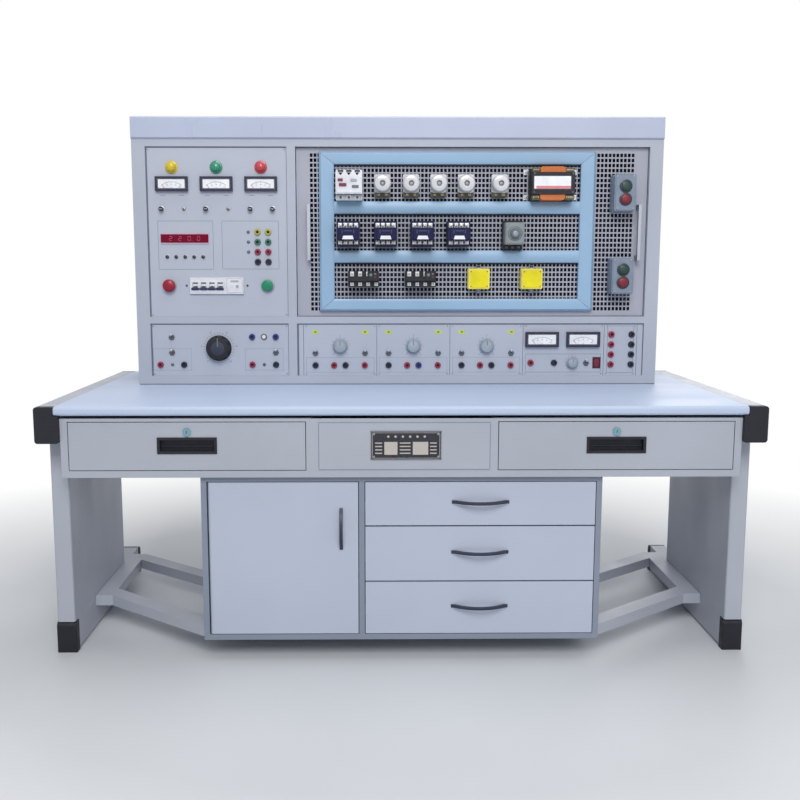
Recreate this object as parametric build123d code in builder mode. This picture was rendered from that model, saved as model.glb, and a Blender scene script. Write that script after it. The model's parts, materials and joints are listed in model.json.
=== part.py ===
"""Electrical control training bench: a steel table with drawers that carries an instrument console."""
from build123d import *
import os

os.makedirs("parts", exist_ok=True)

# Axes: X to the user's right, Y away from the user, Z up. The origin is on the floor, under the middle.
# All sizes are in millimetres.

# General clearances
SLIDE_GAP = 0.4
SEAT_GAP = 0.2
SHAFT_GAP = 0.1
PANEL_GAP = 2
KNOB_LIFT = 0.6

# Table
OVERALL_WIDTH = 1900
OVERALL_DEPTH = 820
TABLE_HEIGHT = 696
TOP_THICKNESS = 24
TOP_SETBACK = 2
TOP_EDGE_RADIUS = 9
BEAM_WIDTH = 61
BEAM_HEIGHT = 94
BEAM_WALL = 3
BEAM_RADIUS = 6
BEAM_SHOULDER = 12
CAP_LENGTH = 18
CAP_PROUD = 2
CAP_RADIUS = 8

# Legs and feet
LEG_THICKNESS = 48
LEG_DEPTH = 500
LEG_SETBACK = 82
LEG_WALL = 2.5
LEG_RADIUS = 6
FOOT_BEAM_WIDTH = 50
FOOT_BEAM_HEIGHT = 82
FOOT_BEAM_LENGTH = 640
FOOT_BEAM_LIFT = 6
FOOT_BEAM_WALL = 3
FOOT_CAP_LENGTH = 24
FOOT_CAP_PROUD = 2
FOOT_CAP_RADIUS = 14

# Apron with two drawers
APRON_SETBACK = 12
APRON_HEIGHT = 156
APRON_GAP = 8
APRON_DEPTH = 470
APRON_SHEET = 2
APRON_END_STILE = 19
APRON_MULLION = 22
APRON_TOP_RAIL = 8
APRON_BOTTOM_RAIL = 18
APRON_RAIL_DEPTH = 20
CENTRE_PANEL_WIDTH = 456
PACKER_DEPTH = 40
PACKER_INSET = 40
NAMEPLATE_WIDTH = 185
NAMEPLATE_HEIGHT = 77
NAMEPLATE_THICKNESS = 3
NAMEPLATE_EDGE = 1
NAMEPLATE_DROP = 7
NAMEPLATE_SHIFT = 10

# Drawers
FRONT_THICKNESS = 18
DRAWER_SHEET = 2
RUNNER_THICKNESS = 12
RUNNER_HEIGHT = 30
RUNNER_SETBACK = 24
APRON_TRAY_DEPTH = 420
APRON_TRAY_HEIGHT = 100
APRON_DRAWER_TRAVEL = 300
PULL_WIDTH = 155
PULL_HEIGHT = 43
PULL_LIP = 5
PULL_PROUD = 2
PULL_DEPTH = 15
PULL_WALL = 1.5
PULL_RISE = 2
LOCK_RADIUS = 8
LOCK_FLANGE_RADIUS = 11
LOCK_FLANGE = 3
LOCK_LIFT = 36
KEY_SLOT_LENGTH = 8
KEY_SLOT_WIDTH = 2
KEY_SLOT_DEPTH = 6

# Cabinet under the apron
CABINET_WIDTH = 1060
CABINET_SETBACK = 28
CABINET_DEPTH = 440
CABINET_LIFT = 58
CABINET_BOARD = 15
CABINET_BACK = 4
DIVIDER_OFFSET = -106
DOOR_GAP = 2
HINGE_PIN_RADIUS = 3
HINGE_PIN_LENGTH = 12
CABINET_TRAY_DEPTH = 390
CABINET_TRAY_DROP = 26
CABINET_DRAWER_SPLITS = (220, 372)
CABINET_DRAWER_TRAVEL = 300
SHELF_HEIGHT = 290
SHELF_SETBACK = 36
BOW_LENGTH = 152
BOW_RISE = 26
BOW_BAR = 6
BOW_WIDTH = 8
BOW_FOOT = 12
DOOR_BOW_LENGTH = 113
DOOR_BOW_INSET = 45
DOOR_BOW_LIFT = 82

# Footrest frames between the cabinet and the legs
FOOTREST_LIFT = 65
FOOTREST_HEIGHT = 30
FOOTREST_WALL = 2.5
FOOTREST_RAIL = 60
FOOTREST_SIDE = 50
FOOTREST_SPAN = 390
FOOTREST_SKEW = 230
FOOTREST_SETBACK = 34

# Console
CONSOLE_WIDTH = 1586
CONSOLE_HEIGHT = 800
CONSOLE_SETBACK = 455
CONSOLE_SHEET = 2
CONSOLE_REAR_GAP = 14
FRAME_DEPTH = 25
FRAME_SKIN = 2
STILE = 40
TOP_RAIL = 87
BOTTOM_RAIL = 27
MID_RAIL = 21
MID_RAIL_HEIGHT = 187
MULLION = 26
MULLION_OFFSET = -320
MODULE_MARGIN = 19
HEADER_HEIGHT = 65
HEADER_PROUD = 6
HEADER_EDGE = 4
PANEL_SETBACK = 4
PANEL_SHEET = 3
VENT_COUNT = 14
VENT_ROWS = 2
VENT_WIDTH = 60
VENT_HEIGHT = 6
VENT_PITCH_X = 100
VENT_PITCH_Z = 24
VENT_HEIGHT_FROM_TOP = 110

# Perforated board and what it carries
BOARD_SETBACK = 14
BOARD_SHEET = 2
BOARD_GAP = 1.5
BOARD_CHEEK = 220
BOARD_TRAVEL = 200
BOARD_RAIL_HEIGHT = 24
BOARD_RAIL_LIFTS = (100, 400)
HOLE_WIDTH = 16
HOLE_HEIGHT = 18
HOLE_PITCH_X = 29.4
HOLE_PITCH_Z = 29.1
HOLE_COLUMNS = 33
HOLE_ROWS = 16
HOLE_SHIFT = 7
BLUE_FRAME_MARGINS = (70, 161)
BLUE_FRAME_LIFT = 17
BLUE_FRAME_DROP = 14
BLUE_FRAME_MEMBER = 45
BLUE_FRAME_RAIL = 37
BLUE_FRAME_DEPTH = 18
BLUE_FRAME_BEVEL = 7
BLUE_FRAME_SKIN = 2
GRIP_LENGTH = 165
GRIP_BAR = 9
GRIP_REACH = 34
GRIP_POST = 14
GRIP_INSETS = (38, 28)

# Devices on the board: lifts from the middle of each row, and offsets from the middle of the frame
ROW_COUNT = 3
ROW_LIFTS = (6, -6, -5)
RAIL_HEIGHT = 35
RAIL_DEPTH = 7.5
RAIL_SHEET = 1
RAIL_CROWN = 25
RAIL_INSET = 5
MOTOR_BREAKER_OFFSET = -323.5
MOTOR_BREAKER_DROP = 5
MOTOR_BREAKER_SIZE = (78, 72, 88)
MOTOR_KEY_SPREAD = 17
MOTOR_KEY_RADIUS = 8
FUSE_OFFSETS = (-224.5, -139.5, -57.5, 24.5, 125.5)
FUSE_BASE = (50, 28, 78)
FUSE_BASE_DROP = 5
FUSE_CAP_RADIUS = 26
FUSE_CAP_LENGTH = 34
FUSE_CAP_EDGE = 5.5
FUSE_NECK_RADIUS = 21
FUSE_NECK_LENGTH = 17
TRANSFORMER_OFFSET = 279.5
TRANSFORMER_SIZE = (126, 70, 64)
TRANSFORMER_COIL = (74, 44, 98)
TERMINAL_STRIP = (159, 22, 16)
CONTACTOR_OFFSETS = (-326.5, -215.5, -106.5, 1.5)
CONTACTOR_SIZE = (68, 78, 74)
CONTACTOR_STEP = 22
CONTACTOR_NOSE_HEIGHT = 40
TIMER_OFFSET = 166
TIMER_SIZE = (56, 70, 64)
TIMER_DIAL_RADIUS = 15
TIMER_DIAL_HEIGHT = 8
TIMER_DIAL_SKIRT = 2
TIMER_SHAFT = 12
TIMER_BORE = 14
THERMAL_OFFSETS = (-281.5, -110.5)
THERMAL_SIZE = (92, 62, 48)
THERMAL_STEP = 20
THERMAL_NOSE_HEIGHT = 24
SWITCH_OFFSETS = (66.5, 226.5)
SWITCH_SIZE = (66, 34, 62)
PLUNGER_RADIUS = 5
PLUNGER_LENGTH = 10
STATION_OFFSET = -0.5
STATION_SIZE = (66, 56, 109)
STATION_BUTTON_SPREAD = 19
STATION_BUTTON_RADIUS = 14
STATION_BUTTON_EDGE = 2
STATION_RIM_RADIUS = 18
STATION_RIM = 4
STATION_LIFTS = (368, 123)

# Round controls
BUTTON_TRAVEL = 4
BUTTON_STEM_RADIUS = 7
BUTTON_STEM = 14
STOP_RADIUS = 19
START_RADIUS = 17
STOP_HEAD = 12
STOP_EDGE = 4
START_HEAD = 7
START_EDGE = 2.5
BEZEL_RADIUS = 21
BEZEL_HEIGHT = 4
KNOB_SHAFT_RADIUS = 3
KNOB_SHAFT = 24
BIG_KNOB_RADIUS = 39
BIG_KNOB_HEIGHT = 26
BIG_KNOB_SKIRT = 6.5
MODULE_KNOB_RADIUS = 23
MODULE_KNOB_HEIGHT = 20
MODULE_KNOB_SKIRT = 5
SMALL_KNOB_RADIUS = 19
SMALL_KNOB_HEIGHT = 16
SMALL_KNOB_SKIRT = 4
KNOB_TAPER = 5
KNOB_SHOULDER = 2.5
POINTER_WIDTH = 2.5
POINTER_DEPTH = 1

# Power panel layout, from the middle of the upper left opening
COLUMN_PITCH = 133
LAMP_HEIGHT = 1349
LAMP_RADIUS = 15
LAMP_BEZEL_RADIUS = 19
LAMP_SHOULDER = 1
METER_HEIGHT = 1300
METER_FACE = (97, 43)
METER_PROUD = 12
METER_BODY = (70, 36)
METER_BODY_DEPTH = 40
METER_WALL = 5
METER_RECESS = 4
FUSE_ROW_HEIGHT = 1226
FUSE_ROW_PITCH = 66.5
FUSE_ROW_COUNT = 6
HOLDER_RADIUS = 9
HOLDER_PROUD = 14
DISPLAY_OFFSET = -99
DISPLAY_HEIGHT = 1139
DISPLAY_SIZE = (138, 24)
DISPLAY_PROUD = 5
DISPLAY_BORDER = 4
DISPLAY_RECESS = 4
DISPLAY_BODY_DEPTH = 30
KEY_HEIGHT = 1084
KEY_PITCH = 27
KEY_COUNT = 5
KEY_RADIUS = 6.5
KEY_STEM_RADIUS = 5.5
KEY_PROUD = 4
SOCKET_OFFSET = 136
SOCKET_SPREAD = 16
SOCKET_TOP = 1158
SOCKET_PITCH = 29.7
SOCKET_ROWS = 4
SOCKET_LAMP_OFFSET = 92
BUTTON_SPREAD = 148
BUTTON_HEIGHT = 998
BREAKER_OFFSET = -5
BREAKER_WINDOW = (162, 50)
BREAKER_BODY = (168, 84)
BREAKER_BODY_DEPTH = 52
BREAKER_NOSE = 8
LEVER_BAY = (104, 40)
LEVER_BAY_DEPTH = 15
LEVER_BAY_OFFSET = -27
LEVER_DRUM_RADIUS = 6
LEVER_REACH = 19
LEVER_TAB = 15
LEVER_PITCH = 25
LEVER_COUNT = 4
LEVER_THICKNESS = 5
LEVER_ANGLE = 35
LEVER_BAR = 3
TEST_KEY = (8, 8, 2)
TEST_KEY_OFFSET = 45

# Sockets and small switches
SOCKET_RADIUS = 9.5
SOCKET_PROUD = 7
SOCKET_BODY_RADIUS = 6
SOCKET_BODY = 18
SOCKET_BORE = 2
SOCKET_BORE_DEPTH = 16
SMALL_LAMP_RADIUS = 4
SMALL_LAMP_PROUD = 3
SMALL_LAMP_BODY = 10
SWITCH_COLLAR_RADIUS = 10
SWITCH_COLLAR = 5
SWITCH_LEVER_RADIUS = 3.5
SWITCH_LEVER = 12
SWITCH_BODY = 22

# Regulator panel layout, from the middle of the lower left opening
REGULATOR_OFFSET = -4
REGULATOR_HEIGHT = 808
SIDE_GROUP_OFFSETS = (-147, 134)
SIDE_SPREAD = 36
SIDE_SOCKET_HEIGHT = 757
SIDE_SWITCH_HEIGHT = 795
SIDE_TOP_HEIGHT = 842
VARIAC_RADIUS = 62
VARIAC_DEPTH = 80
VARIAC_BORE = 26
VARIAC_HUB_RADIUS = 12

# Module panels
MODULE_WIDTH = 224
MODULE_COUNT = 3
OUTPUT_WIDTH = 249
MODULE_JOINT = 1
MODULE_KNOB_LEVEL = 814
MODULE_SWITCH_LEVEL = 793
MODULE_SWITCH_SPREAD = 76
MODULE_SOCKET_LEVEL = 755
MODULE_SOCKET_XS = (-76, -19, 16, 75)
OUTPUT_METER_LEVEL = 834
OUTPUT_METER_SPREAD = 63
OUTPUT_METER_SHIFT = -4
OUTPUT_METER_FACE = (102, 46)
OUTPUT_CONTROL_LEVEL = 762
OUTPUT_SOCKET_XS = (-100, -28)
OUTPUT_KNOB_X = 28
OUTPUT_SWITCH_X = 71
ROCKER_X = 103
ROCKER_SIZE = (20, 34)
ROCKER_KEY = (16, 26, 7)
ROCKER_PIN_RADIUS = 2
ROCKER_DEPTH = 18
ROCKER_TILT = 9
ROCKER_PROUD = 3
OUTLET_SPREAD = 31
OUTLET_OFFSET = -7
OUTLET_TOP = 849
OUTLET_PITCH = 30.7
OUTLET_ROWS = 4

# Inside the console
CORE_SIZE = (150, 100, 120)
CORE_X = 120
CORE_OFFSET = 25
CORE_COIL = (90, 130, 80)
CIRCUIT_BOARD = (200, 140, 1.6)
CIRCUIT_BOARD_X = 480
PILLAR_RADIUS = 4
PILLAR_HEIGHT = 10
PILLAR_INSET = 8
CHIP_SIZES = ((30, 20, 12), (18, 18, 25), (40, 12, 30))
CHIP_PITCH = 66
INLET_SIZE = (52, 34)
INLET_DEPTH = 22
INLET_FLANGE = 8
INLET_PROUD = 3
INLET_WALL = 3
CONTACT_SIZE = (2, 8)
CONTACT_PITCH = 13
INLET_X = -640
INLET_Z = 760

# Places worked out from the sizes above
FRONT_Y = -OVERALL_DEPTH / 2
REAR_Y = OVERALL_DEPTH / 2
BEAM_OUTER = OVERALL_WIDTH / 2 - CAP_PROUD
BEAM_INNER = BEAM_OUTER - BEAM_WIDTH
BEAM_BOTTOM = TABLE_HEIGHT - BEAM_HEIGHT
TOP_UNDERSIDE = TABLE_HEIGHT - TOP_THICKNESS
TOP_HALF = BEAM_INNER + BEAM_SHOULDER
LEG_OUTER = BEAM_OUTER - (BEAM_WIDTH - LEG_THICKNESS) / 2
LEG_INNER = LEG_OUTER - LEG_THICKNESS
FOOT_TOP = FOOT_BEAM_LIFT + FOOT_BEAM_HEIGHT
FOOT_MIDDLE = (LEG_OUTER + LEG_INNER) / 2
FOOT_INNER = FOOT_MIDDLE - FOOT_BEAM_WIDTH / 2
FOOT_FRONT = FRONT_Y + LEG_SETBACK
APRON_TOP = TOP_UNDERSIDE - APRON_GAP
APRON_BOTTOM = APRON_TOP - APRON_HEIGHT
APRON_FACE = FRONT_Y + APRON_SETBACK
APRON_REAR = APRON_FACE + APRON_DEPTH
BAY_INNER = CENTRE_PANEL_WIDTH / 2 + APRON_MULLION
BAY_OUTER = BEAM_INNER - APRON_END_STILE
BAY_WALL = BAY_INNER - RUNNER_THICKNESS
BAY_LOW = APRON_BOTTOM + APRON_BOTTOM_RAIL
BAY_HIGH = APRON_TOP - APRON_TOP_RAIL
PULL_X = (BAY_INNER + BAY_OUTER) / 2
PULL_Z = (BAY_LOW + BAY_HIGH) / 2 + PULL_RISE
CABINET_FACE = FRONT_Y + CABINET_SETBACK
CABINET_REAR = CABINET_FACE + CABINET_DEPTH
CABINET_HALF = CABINET_WIDTH / 2
CABINET_TOP = APRON_BOTTOM
CABINET_FLOOR = CABINET_LIFT + CABINET_BOARD
CABINET_CEILING = CABINET_TOP - CABINET_BOARD
DIVIDER = (DIVIDER_OFFSET - CABINET_BOARD / 2, DIVIDER_OFFSET + CABINET_BOARD / 2)
CONSOLE_FACE = FRONT_Y + CONSOLE_SETBACK
CONSOLE_REAR = REAR_Y - CONSOLE_REAR_GAP
CONSOLE_HALF = CONSOLE_WIDTH / 2
CONSOLE_BOTTOM = TABLE_HEIGHT
CONSOLE_TOP = TABLE_HEIGHT + CONSOLE_HEIGHT
UPPER_LOW = CONSOLE_BOTTOM + MID_RAIL_HEIGHT + MID_RAIL
UPPER_HIGH = CONSOLE_TOP - TOP_RAIL
LOWER_LOW = CONSOLE_BOTTOM + BOTTOM_RAIL
LOWER_HIGH = CONSOLE_BOTTOM + MID_RAIL_HEIGHT
LEFT_LOW = -CONSOLE_HALF + STILE
LEFT_HIGH = MULLION_OFFSET - MULLION / 2
RIGHT_LOW = MULLION_OFFSET + MULLION / 2
RIGHT_HIGH = CONSOLE_HALF - STILE
MODULE_LOW = RIGHT_LOW + MODULE_MARGIN
LEFT_MIDDLE = (LEFT_LOW + LEFT_HIGH) / 2
PANEL_FACE = CONSOLE_FACE + PANEL_SETBACK
PANEL_BACK = PANEL_FACE + PANEL_SHEET
BOARD_FACE = CONSOLE_FACE + BOARD_SETBACK
BOARD_BACK = BOARD_FACE + BOARD_SHEET
RAIL_FACE = BOARD_FACE - RAIL_DEPTH
OUTPUT_LOW = MODULE_LOW + MODULE_COUNT * MODULE_WIDTH
OUTPUT_MIDDLE = OUTPUT_LOW + OUTPUT_WIDTH / 2
OUTLET_MIDDLE = (OUTPUT_LOW + OUTPUT_WIDTH + RIGHT_HIGH) / 2 + OUTLET_OFFSET
BREAKER_X = LEFT_MIDDLE + BREAKER_OFFSET
STATION_ZS = tuple(UPPER_LOW + lift for lift in STATION_LIFTS)
BLUE_X = (RIGHT_LOW + BLUE_FRAME_MARGINS[0], RIGHT_HIGH - BLUE_FRAME_MARGINS[1])
BLUE_Z = (UPPER_LOW + BLUE_FRAME_LIFT, UPPER_HIGH - BLUE_FRAME_DROP)
BLUE_MIDDLE = (BLUE_X[0] + BLUE_X[1]) / 2
ROW_X = (BLUE_X[0] + BLUE_FRAME_MEMBER, BLUE_X[1] - BLUE_FRAME_MEMBER)
ROW_HEIGHT = (BLUE_Z[1] - BLUE_Z[0] - (ROW_COUNT + 1) * BLUE_FRAME_RAIL) / ROW_COUNT
ROW_LOWS = [BLUE_Z[0] + BLUE_FRAME_RAIL + row * (ROW_HEIGHT + BLUE_FRAME_RAIL) for row in range(ROW_COUNT)]
ROW_BOTTOM, ROW_MIDDLE, ROW_TOP = [low + ROW_HEIGHT / 2 + lift for low, lift in zip(ROW_LOWS, ROW_LIFTS)]
MOTOR_BREAKER_X = BLUE_MIDDLE + MOTOR_BREAKER_OFFSET
FUSE_XS = [BLUE_MIDDLE + offset for offset in FUSE_OFFSETS]
TRANSFORMER_X = BLUE_MIDDLE + TRANSFORMER_OFFSET
CONTACTOR_XS = [BLUE_MIDDLE + offset for offset in CONTACTOR_OFFSETS]
TIMER_X = BLUE_MIDDLE + TIMER_OFFSET
THERMAL_XS = [BLUE_MIDDLE + offset for offset in THERMAL_OFFSETS]
SWITCH_XS = [BLUE_MIDDLE + offset for offset in SWITCH_OFFSETS]
STATION_X = (BLUE_X[1] + RIGHT_HIGH) / 2 + STATION_OFFSET


def keep(piece, name):
    """Name a finished piece and write it to its own file."""
    piece.part.label = name
    export_step(piece.part, f"parts/{name}.step")


def keep_together(pieces, name):
    """Write finished pieces that touch, each still a solid of its own, to one file."""
    group = Compound([solid for piece in pieces for solid in piece.part.solids()])
    group.label = name
    export_step(group, f"parts/{name}.step")


def facing(y):
    """Upright plane at depth y that faces the user, with local x along X and local y along Z."""
    return Plane(origin=(0, y, 0), x_dir=(1, 0, 0), z_dir=(0, -1, 0))


def around(middle, width):
    """Lower and upper limit of a width about its middle."""
    return (middle - width / 2, middle + width / 2)


def block(x, y, z, mode=Mode.ADD):
    """Square-edged block between a lower and an upper limit on each axis."""
    with Locations(((x[0] + x[1]) / 2, (y[0] + y[1]) / 2, (z[0] + z[1]) / 2)):
        Box(x[1] - x[0], y[1] - y[0], z[1] - z[0], mode=mode)


def window(x, z, mode=Mode.ADD):
    """Rectangle between limits, for a sketch on an upright plane."""
    with Locations(((x[0] + x[1]) / 2, (z[0] + z[1]) / 2)):
        Rectangle(x[1] - x[0], z[1] - z[0], mode=mode)


def pegs(points, y, radius, mode=Mode.ADD):
    """Round pegs along Y between two depths, one at each point given as X and Z."""
    with Locations(*[Location((x, (y[0] + y[1]) / 2, z), (90, 0, 0)) for x, z in points]):
        Cylinder(radius, y[1] - y[0], mode=mode)


def upright_peg(x, y, z, radius, mode=Mode.ADD):
    """Round peg along Z between two heights."""
    with Locations((x, y, (z[0] + z[1]) / 2)):
        Cylinder(radius, z[1] - z[0], mode=mode)


def beam_section(inset, mode=Mode.ADD):
    """Section of a side beam with its shoulder for the tabletop, drawn inside the outline by inset."""
    inner = (BEAM_INNER + inset, BEAM_OUTER - inset)
    shoulder = (TOP_HALF + inset, BEAM_OUTER - inset)
    window(inner, (BEAM_BOTTOM + inset, TOP_UNDERSIDE - inset), mode)
    window(shoulder, (BEAM_BOTTOM + inset, TABLE_HEIGHT - inset), mode)


# Side beams that close the tabletop at its two ends
with BuildPart() as side_beams:
    with BuildSketch(facing(REAR_Y - CAP_LENGTH)):
        beam_section(0)
        beam_section(BEAM_WALL, Mode.SUBTRACT)
    extrude(amount=OVERALL_DEPTH - 2 * CAP_LENGTH)
    fillet(side_beams.edges().filter_by(Axis.Y).group_by(Axis.X)[-1], BEAM_RADIUS)
    mirror(about=Plane.YZ)
keep(side_beams, "side_beams")

# Moulded caps on the ends of the side beams and of the foot beams
with BuildPart() as end_caps:
    with BuildSketch(facing(FRONT_Y + CAP_LENGTH)):
        window((BEAM_INNER, OVERALL_WIDTH / 2), (BEAM_BOTTOM - CAP_PROUD, TOP_UNDERSIDE))
        window((TOP_HALF, OVERALL_WIDTH / 2), (BEAM_BOTTOM - CAP_PROUD, TABLE_HEIGHT))
    extrude(amount=CAP_LENGTH)
    fillet(end_caps.edges().filter_by(Axis.Y).group_by(Axis.Z)[0], CAP_RADIUS)
    fillet(end_caps.edges().filter_by(Axis.Y).group_by(Axis.X)[-1], CAP_RADIUS)
    fillet(end_caps.faces().sort_by(Axis.Y)[0].edges(), CAP_PROUD)
    mirror(about=Plane.YZ)
    mirror(about=Plane.XZ)
with BuildPart() as foot_caps:
    block(
        around(FOOT_MIDDLE, FOOT_BEAM_WIDTH + 2 * FOOT_CAP_PROUD),
        (FOOT_FRONT, FOOT_FRONT + FOOT_CAP_LENGTH),
        (0, FOOT_TOP),
    )
    toe = foot_caps.edges().filter_by(Axis.X).group_by(Axis.Y)[0].sort_by(Axis.Z)[-1]
    fillet(toe, FOOT_CAP_RADIUS)
    fillet(foot_caps.edges().filter_by(Axis.Y).group_by(Axis.Z)[-1], FOOT_CAP_PROUD)
    mirror(about=Plane.YZ)
    foot_middle_y = FOOT_FRONT + FOOT_CAP_LENGTH + FOOT_BEAM_LENGTH / 2
    mirror(about=Plane(origin=(0, foot_middle_y, 0), z_dir=(0, 1, 0)))
with BuildPart() as all_caps:
    add(end_caps.part)
    add(foot_caps.part)
keep(all_caps, "end_caps")

# Leg columns, hollow, between the foot beams and the side beams
with BuildPart() as leg_columns:
    with BuildSketch(Plane.XY.offset(FOOT_TOP)):
        with Locations((FOOT_MIDDLE, FOOT_FRONT + LEG_DEPTH / 2)):
            RectangleRounded(LEG_THICKNESS, LEG_DEPTH, LEG_RADIUS)
            leg_bore = (LEG_THICKNESS - 2 * LEG_WALL, LEG_DEPTH - 2 * LEG_WALL)
            RectangleRounded(*leg_bore, LEG_RADIUS - LEG_WALL, mode=Mode.SUBTRACT)
    extrude(amount=BEAM_BOTTOM - FOOT_TOP)
    mirror(about=Plane.YZ)
keep(leg_columns, "leg_columns")

# Foot beams along the floor, held clear of it by their end caps
with BuildPart() as foot_beams:
    with BuildSketch(facing(FOOT_FRONT + FOOT_CAP_LENGTH + FOOT_BEAM_LENGTH)):
        window(around(FOOT_MIDDLE, FOOT_BEAM_WIDTH), (FOOT_BEAM_LIFT, FOOT_TOP))
        window(
            around(FOOT_MIDDLE, FOOT_BEAM_WIDTH - 2 * FOOT_BEAM_WALL),
            (FOOT_BEAM_LIFT + FOOT_BEAM_WALL, FOOT_TOP - FOOT_BEAM_WALL),
            Mode.SUBTRACT,
        )
    extrude(amount=FOOT_BEAM_LENGTH)
    mirror(about=Plane.YZ)
keep(foot_beams, "foot_beams")

# Tabletop with a rounded front edge
with BuildPart() as tabletop:
    block(
        (-TOP_HALF, TOP_HALF),
        (FRONT_Y + TOP_SETBACK, REAR_Y - TOP_SETBACK),
        (TOP_UNDERSIDE, TABLE_HEIGHT),
    )
    fillet(tabletop.edges().filter_by(Axis.X).group_by(Axis.Y)[0], TOP_EDGE_RADIUS)
keep(tabletop, "tabletop")

# Apron frame: folded sheet with two drawer bays and a closed middle
BAY_DEPTHS = (APRON_FACE + APRON_RAIL_DEPTH, APRON_REAR - APRON_SHEET)
with BuildPart() as apron_frame:
    block((-BEAM_INNER, BEAM_INNER), (APRON_FACE, APRON_REAR), (APRON_BOTTOM, APRON_TOP))
    for side in (-1, 1):
        mouth = sorted((side * BAY_INNER, side * BAY_OUTER))
        bay = sorted((side * BAY_WALL, side * (BEAM_INNER - APRON_SHEET)))
        block(mouth, (APRON_FACE, BAY_DEPTHS[1]), (BAY_LOW, BAY_HIGH), Mode.SUBTRACT)
        block(bay, BAY_DEPTHS, (APRON_BOTTOM + APRON_SHEET, APRON_TOP), Mode.SUBTRACT)
    block(
        around(0, 2 * (BAY_WALL - APRON_SHEET)),
        (APRON_FACE + APRON_SHEET, BAY_DEPTHS[1]),
        (APRON_BOTTOM + APRON_SHEET, APRON_TOP),
        Mode.SUBTRACT,
    )
    for start in (APRON_FACE + PACKER_INSET, APRON_REAR - PACKER_INSET - PACKER_DEPTH):
        for side in (-1, 1):
            packer = sorted((side * BAY_WALL, side * (BAY_WALL - APRON_SHEET)))
            block(packer, (start, start + PACKER_DEPTH), (APRON_TOP, TOP_UNDERSIDE))
            packer = sorted((side * BEAM_INNER, side * (BEAM_INNER - APRON_SHEET)))
            block(packer, (start, start + PACKER_DEPTH), (APRON_TOP, TOP_UNDERSIDE))
keep(apron_frame, "apron_frame")

# Plain plate on the middle of the apron
with BuildPart() as nameplate:
    block(
        around(NAMEPLATE_SHIFT, NAMEPLATE_WIDTH),
        (APRON_FACE - NAMEPLATE_THICKNESS, APRON_FACE),
        around((APRON_TOP + APRON_BOTTOM) / 2 + NAMEPLATE_DROP, NAMEPLATE_HEIGHT),
    )
    chamfer(nameplate.faces().sort_by(Axis.Y)[0].edges(), NAMEPLATE_EDGE)
keep(nameplate, "nameplate")


def bow_handle(origin, along, length):
    """Bow handle that bulges towards the user, centred on origin, with its length along the given axis."""
    lift = Vector(1, 0, 0) if along.Z else Vector(0, 0, 1)
    plane = Plane(origin=origin, x_dir=along, z_dir=lift if along.X else -lift)
    half = length / 2
    with BuildPart() as bow:
        with BuildSketch(plane):
            with BuildLine():
                ThreePointArc((-half, 0), (0, -BOW_RISE), (half, 0))
                Line((half, 0), (half - BOW_FOOT, 0))
                ThreePointArc((half - BOW_FOOT, 0), (0, BOW_BAR - BOW_RISE), (BOW_FOOT - half, 0))
                Line((BOW_FOOT - half, 0), (-half, 0))
            make_face()
        extrude(amount=BOW_WIDTH / 2, both=True)
    return bow.part


def tray(x, y, z):
    """Open sheet tray between outer limits."""
    block(x, y, z)
    block(
        (x[0] + DRAWER_SHEET, x[1] - DRAWER_SHEET),
        (y[0] + DRAWER_SHEET, y[1] - DRAWER_SHEET),
        (z[0] + DRAWER_SHEET, z[1]),
        Mode.SUBTRACT,
    )


def pull_cup(x):
    """Recessed plastic pull, flush in a drawer front, with a lip around it."""
    with BuildPart() as cup:
        block(
            around(x, PULL_WIDTH),
            (APRON_FACE - SEAT_GAP - PULL_PROUD, APRON_FACE - SEAT_GAP),
            around(PULL_Z, PULL_HEIGHT),
        )
        block(
            around(x, PULL_WIDTH - 2 * PULL_LIP),
            (APRON_FACE - SEAT_GAP, APRON_FACE + PULL_DEPTH),
            around(PULL_Z, PULL_HEIGHT - 2 * PULL_LIP),
        )
        block(
            around(x, PULL_WIDTH - 2 * (PULL_LIP + PULL_WALL)),
            (APRON_FACE - SEAT_GAP - PULL_PROUD, APRON_FACE + PULL_DEPTH - PULL_WALL),
            around(PULL_Z, PULL_HEIGHT - 2 * (PULL_LIP + PULL_WALL)),
            Mode.SUBTRACT,
        )
    return cup.part


def apron_drawer(side):
    """Drawer in the left (-1) or right (1) bay of the apron."""
    front = sorted((side * (BAY_INNER + PANEL_GAP), side * (BAY_OUTER - PANEL_GAP)))
    body = sorted((side * (BAY_INNER + SLIDE_GAP), side * (BAY_OUTER - SLIDE_GAP)))
    skin = APRON_FACE + FRONT_THICKNESS
    cup = pull_cup(side * PULL_X)
    with BuildPart() as drawer:
        block(front, (APRON_FACE, skin), (BAY_LOW + PANEL_GAP, BAY_HIGH - PANEL_GAP))
        block(
            (front[0] + DRAWER_SHEET, front[1] - DRAWER_SHEET),
            (APRON_FACE + DRAWER_SHEET, skin),
            (BAY_LOW + PANEL_GAP + DRAWER_SHEET, BAY_HIGH - PANEL_GAP - DRAWER_SHEET),
            Mode.SUBTRACT,
        )
        block(
            around(side * PULL_X, PULL_WIDTH - 2 * PULL_LIP + 2 * SEAT_GAP),
            (APRON_FACE, APRON_FACE + DRAWER_SHEET),
            around(PULL_Z, PULL_HEIGHT - 2 * PULL_LIP + 2 * SEAT_GAP),
            Mode.SUBTRACT,
        )
        tray_low = BAY_LOW + PANEL_GAP
        tray(body, (skin, skin + APRON_TRAY_DEPTH), (tray_low, tray_low + APRON_TRAY_HEIGHT))
        block(
            front,
            (skin, skin + DRAWER_SHEET),
            (BAY_LOW + PANEL_GAP, BAY_HIGH - PANEL_GAP),
        )
        pegs(
            [(side * PULL_X, PULL_Z + LOCK_LIFT)],
            (APRON_FACE, skin + DRAWER_SHEET),
            LOCK_RADIUS + SHAFT_GAP,
            Mode.SUBTRACT,
        )
        add(cup)
    return drawer


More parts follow.
